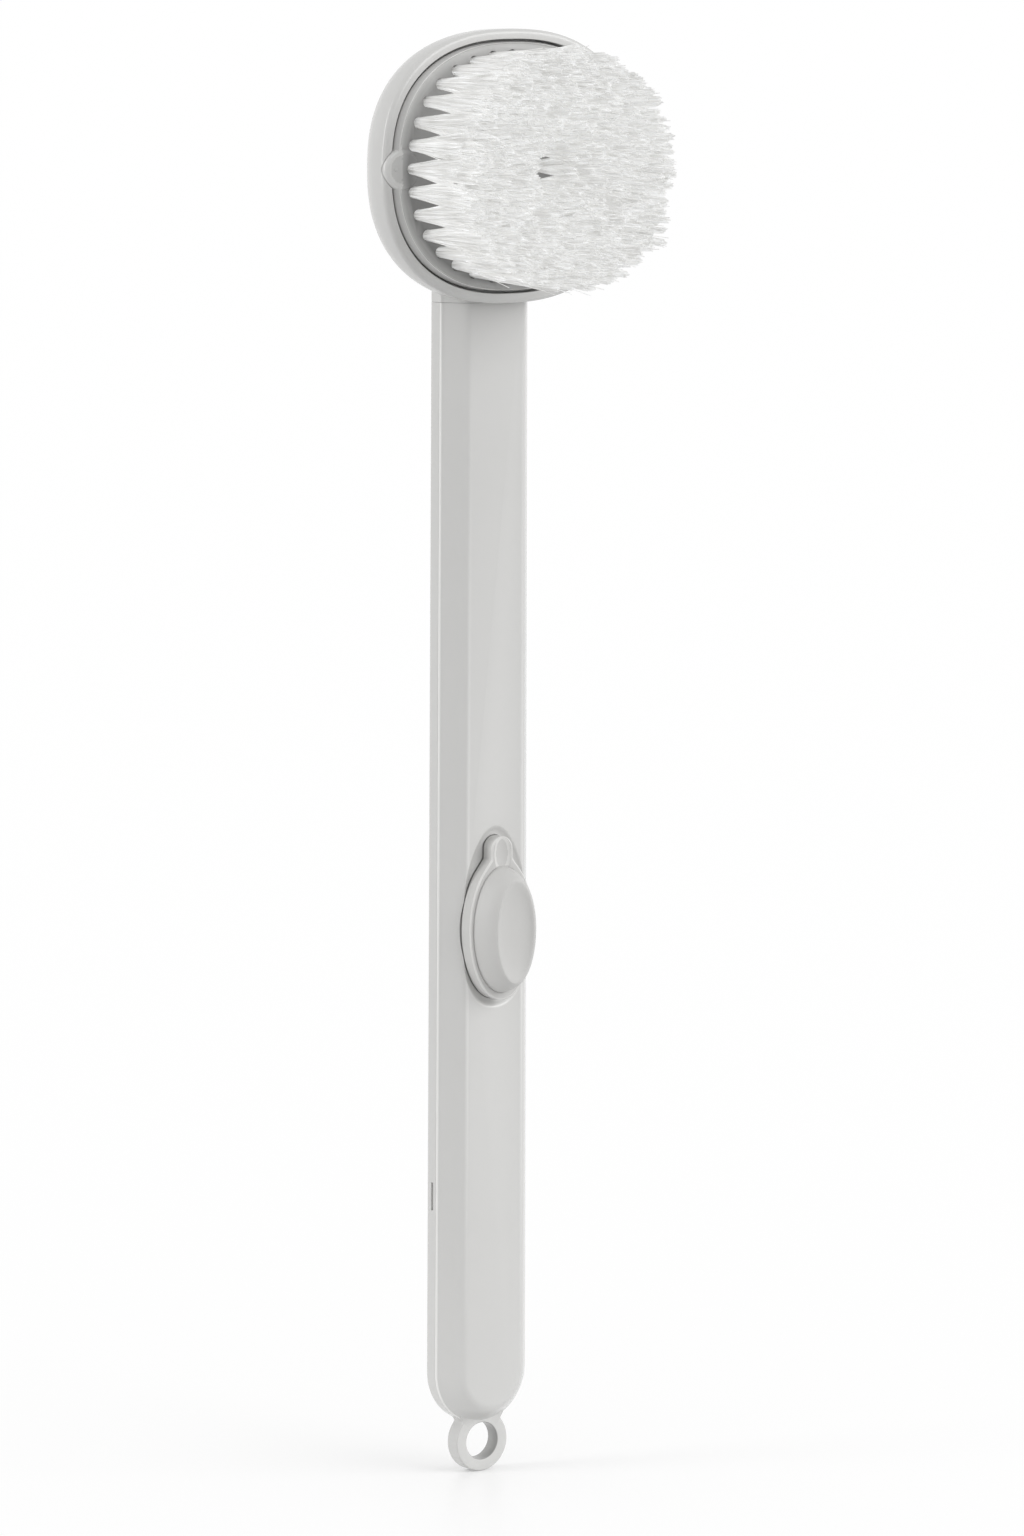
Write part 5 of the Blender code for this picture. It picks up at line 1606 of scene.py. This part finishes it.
@dataclass
class PumpButton:
    """The silicone dome: sloping side, soft ridge and a dished top."""

    plug: PlugForm = field(default_factory=PlugForm)
    rise: float = 6.6 * MM
    ridge_inset: float = 3.2 * MM
    dish_depth: float = 1.1 * MM
    wall: float = 1.2 * MM
    rear: float = -9.75 * MM
    bend_start: float = 0.3 * MM
    bend_end: float = 4.6 * MM
    side: Profile = ((-0.03, -0.04), (0.0, 0.08), (0.08, 0.24), (0.26, 0.50), (0.50, 0.75), (0.74, 0.91),
                     (0.92, 0.99), (1.0, 1.0))
    top: Profile = ((1.0, 0.0), (0.965, 0.03), (0.91, 0.16), (0.82, 0.40), (0.68, 0.66), (0.48, 0.86),
                    (0.26, 0.97), (0.08, 1.0))

    def build(self) -> None:
        """Build the dome with its hollow underside."""
        plug = self.plug
        ridge = plug.crease - self.rise
        wide, tall = plug.button_half_width - self.ridge_inset, plug.button_half_height - self.ridge_inset
        skin = RingSkin()
        base = skin.start(plug.oval(0.0, self.rear))
        rings = [plug.oval(self.ridge_inset * inwards, plug.crease - self.rise * forwards)
                 for inwards, forwards in eased(self.side, 4)]
        rings += [superellipse(wide * kept, tall * kept, ridge + self.dish_depth * sunk, plug.height,
                               plug.steps)
                  for kept, sunk in eased(self.top, 3)[1:]]
        skin.fill(skin.grow(base, *rings))
        inner_front = ridge + self.dish_depth + self.wall
        inner = [plug.oval(self.wall, self.rear)]
        for inwards, forwards in self.side[1:]:
            inner.append(plug.oval(self.wall + self.ridge_inset * inwards,
                                   plug.crease - (plug.crease - inner_front) * forwards))
        skin.fill(skin.grow(base, *inner))
        dome = dress(solid("thumb_dome", skin.closed()), SILICONE_FINISH, None, Slot.SILICONE,
                     "pump_button", sharp=40.0)
        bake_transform(dome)


# Inner pieces


@dataclass
class InnerWorks:
    """Pieces inside the handle and the head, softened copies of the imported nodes."""

    edge: float = 0.12 * MM
    flat: float = 1.0
    corner: float = 40.0
    pieces: Sequence[tuple[str, MouldedFinish, Body, Slot]] = (
        ("neck_plug", INNER_FINISH, Body.HANDLE, Slot.INNER),
        ("feed_elbow", INNER_FINISH, Body.HANDLE, Slot.INNER),
        ("valve_retainer", INNER_FINISH, Body.HEAD, Slot.INNER),
        ("feed_tube", CLEAR_FINISH, Body.HANDLE, Slot.CLEAR),
        ("outlet_valve", CLEAR_FINISH, Body.HEAD, Slot.CLEAR),
        ("neck_seal", SEAL_FINISH, Body.HANDLE, Slot.SEAL),
        ("boss_seal", SEAL_FINISH, Body.HANDLE, Slot.SEAL),
        ("neck_screw_left", SCREW_FINISH, Body.HANDLE, Slot.SCREW),
        ("neck_screw_right", SCREW_FINISH, Body.HANDLE, Slot.SCREW),
    )

    def soften(self, node: str, finish: MouldedFinish, body: Body, slot: Slot) -> None:
        """Copy a node, merge its triangles, round its edges and dress it.

        Args:
            node: The CAD node.
            finish: The finish of its copy.
            body: The body that it moves with.
            slot: The record's material slot.
        """
        mesh = bmesh.new()
        mesh.from_mesh(bpy.data.objects[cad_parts[node].name].data)
        bmesh.ops.remove_doubles(mesh, verts=mesh.verts, dist=TOLERANCE)
        bmesh.ops.dissolve_limit(
            mesh, angle_limit=math.radians(self.flat), verts=mesh.verts, edges=mesh.edges)
        corners = [edge for edge in mesh.edges
                   if len(edge.link_faces) == 2 and edge.calc_face_angle(0.0) > math.radians(self.corner)]
        bmesh.ops.bevel(mesh, geom=corners, offset=self.edge, segments=2, profile=0.5, affect="EDGES",
                        material=-1, clamp_overlap=True)
        dress(solid(node + "_softened", mesh), finish, body, slot, node, sharp=self.corner)

    def build(self) -> None:
        """Soften each inner piece."""
        for node, finish, body, slot in self.pieces:
            self.soften(node, finish, body, slot)


# Light, floor and camera


@dataclass(frozen=True)
class Softbox:
    """A softbox: its azimuth from the bristles' side towards -X and its rise in degrees, its distance,
    its width and height, and the share of a white surface's full brightness that it gives one facing it.
    """

    name: str
    azimuth: float
    elevation: float
    distance: float
    size: tuple[float, float]
    level: float

    def hang(self, target: Vector) -> None:
        """Hang the softbox so that it faces the brush.

        Args:
            target: The place that it faces.
        """
        light = bpy.data.lights.new(self.name, "AREA")
        light.shape = "RECTANGLE"
        light.size, light.size_y = self.size
        light.energy = self.level * (math.pi * self.distance) ** 2
        turn, rise = math.radians(self.azimuth), math.radians(self.elevation)
        away = Vector((-math.sin(turn) * math.cos(rise), -math.cos(turn) * math.cos(rise), math.sin(rise)))
        item = new_object(self.name, light)
        item.location = target + away * self.distance
        item.rotation_euler = away.to_track_quat("Z", "Y").to_euler()


@dataclass
class Studio:
    """A white floor and backdrop, softboxes and an even fill."""

    floor: float = -7.92 * MM
    reach: float = 25.0
    fill: float = 0.6
    floor_tone: tuple[float, float] = (0.95, 0.5)
    floor_fade: tuple[float, float] = (0.05, 0.4)
    floor_roughness: float = 0.35
    show_half: float = 25.0 * MM
    target: tuple[float, float, float] = (0.0, 0.0, 0.2)
    boxes: tuple[Softbox, ...] = (
        Softbox("right_front_box", -32.0, 25.0, 2.4, (2.2, 1.4), 0.54),
        Softbox("left_box", 108.0, 15.0, 2.4, (0.7, 1.9), 0.41),
    )

    def seen(self, tree: bpy.types.NodeTree) -> bpy.types.NodeSocket:
        """Add a mask for what the camera, a gloss or clear stuff shows.

        Args:
            tree: The tree that it joins.

        Returns:
            A socket that is 1 there, else 0.
        """
        path = add_node(tree, "LightPath").outputs
        shown = path["Is Camera Ray"]
        for name in ("Is Glossy Ray", "Is Transmission Ray"):
            shown = add_math(tree, "MAXIMUM", shown, path[name])
        return shown

    def world(self) -> None:
        """Give an even fill, and white wherever the camera or a reflection sees the world."""
        world = bpy.data.worlds.new("studio")
        bpy.context.scene.world = world
        world.use_nodes = True
        tree = world.node_tree
        level = add_node(tree, "MapRange", {"Value": self.seen(tree), "To Min": self.fill, "To Max": 1.0})
        feed(tree, tree.nodes["Background"], {
            "Color": (1.0, 1.0, 1.0, 1.0), "Strength": level.outputs["Result"]})

    def ground(self) -> None:
        """Lay the floor: white to the camera, and still darker where the object shades it."""
        mesh = bmesh.new()
        bmesh.ops.create_grid(mesh, x_segments=1, y_segments=1, size=self.reach)
        bmesh.ops.translate(mesh, verts=mesh.verts, vec=(0.0, 0.0, self.floor))
        floor = solid("floor", mesh)
        material, tree, shader = principled("white_floor")
        place = add_node(tree, "TexCoord").outputs["Object"]
        away = add_node(tree, "VectorMath", {0: place}, operation="LENGTH").outputs["Value"]
        tone = add_node(tree, "MapRange", {
            "Value": away, "From Min": self.floor_fade[0], "From Max": self.floor_fade[1],
            "To Min": self.floor_tone[0], "To Max": self.floor_tone[1]})
        shown = self.seen(tree)
        feed(tree, shader, {
            "Base Color": add_math(tree, "MAXIMUM", tone.outputs["Result"], shown),
            "Roughness": self.floor_roughness})
        near = add_math(tree, "DIVIDE", self.show_half, add_math(tree, "ADD", away, self.show_half))
        share = add_math(tree, "MULTIPLY", shown, add_math(tree, "SUBTRACT", 1.0, near))
        mix = add_node(tree, "MixShader", {
            0: share, 1: shader.outputs[0], 2: add_node(tree, "Emission").outputs[0]})
        feed(tree, tree.nodes["Material Output"], {"Surface": mix.outputs[0]})
        floor.data.materials.append(material)

    def build(self) -> None:
        """Set the view, the world, the floor and the softboxes."""
        bpy.context.scene.view_settings.view_transform = "Standard"
        self.world()
        self.ground()
        for box in self.boxes:
            box.hang(Vector(self.target))


@dataclass
class PhotoCamera:
    """The camera at the photograph's viewing angle."""

    azimuth: float = 35.024
    distance: float = 1841.06 * MM
    height: float = 410.02 * MM
    yaw: float = -0.259
    pitch: float = 7.292
    roll: float = 0.221
    lens: float = 170.783
    sensor: float = 36.0
    clip: tuple[float, float] = (0.05, 60.0)

    def build(self) -> None:
        """Create the camera and make it the scene's."""
        azimuth = math.radians(self.azimuth)
        place = Vector((-math.sin(azimuth) * self.distance, -math.cos(azimuth) * self.distance, self.height))
        level = Vector((math.sin(azimuth), math.cos(azimuth), 0.0))
        level.rotate(Matrix.Rotation(math.radians(self.yaw), 3, "Z"))
        pitch, roll = math.radians(self.pitch), math.radians(self.roll)
        up = Vector((0.0, 0.0, 1.0))
        forward = level * math.cos(pitch) - up * math.sin(pitch)
        upright = level * math.sin(pitch) + up * math.cos(pitch)
        side = Vector((level.y, -level.x, 0.0))
        right = side * math.cos(roll) + upright * math.sin(roll)
        top = -side * math.sin(roll) + upright * math.cos(roll)
        turn = Matrix((right, top, -forward)).transposed()
        data = bpy.data.cameras.new("photo_camera")
        data.sensor_width = self.sensor
        data.lens = self.lens
        data.clip_start, data.clip_end = self.clip
        camera = new_object("photo_camera", data)
        camera.matrix_world = Matrix.Translation(place) @ turn.to_4x4()
        bpy.context.scene.camera = camera


def main() -> None:
    """Set up the camera, build the brush part by part, then build the studio round it."""
    logging.basicConfig(level=logging.INFO, format="%(message)s")
    tufts = TuftField()
    steps: tuple[tuple[str, Callable[[], None]], ...] = (
        ("camera", PhotoCamera().build),
        ("handle shells", HandleShells().build),
        ("hanging loop", HangingLoop().build),
        ("head housing", HeadHousing().build),
        ("brush plate", lambda: BrushPlate().build([root for ring in tufts.roots() for root in ring])),
        ("tufts", tufts.build),
        ("refill plug", RefillPlug().build),
        ("pump button", PumpButton().build),
        ("inner works", InnerWorks().build),
        ("studio", Studio().build),
    )
    for name, build in steps:
        LOG.info("building the %s", name)
        build()


if __name__ == "__main__":
    main()
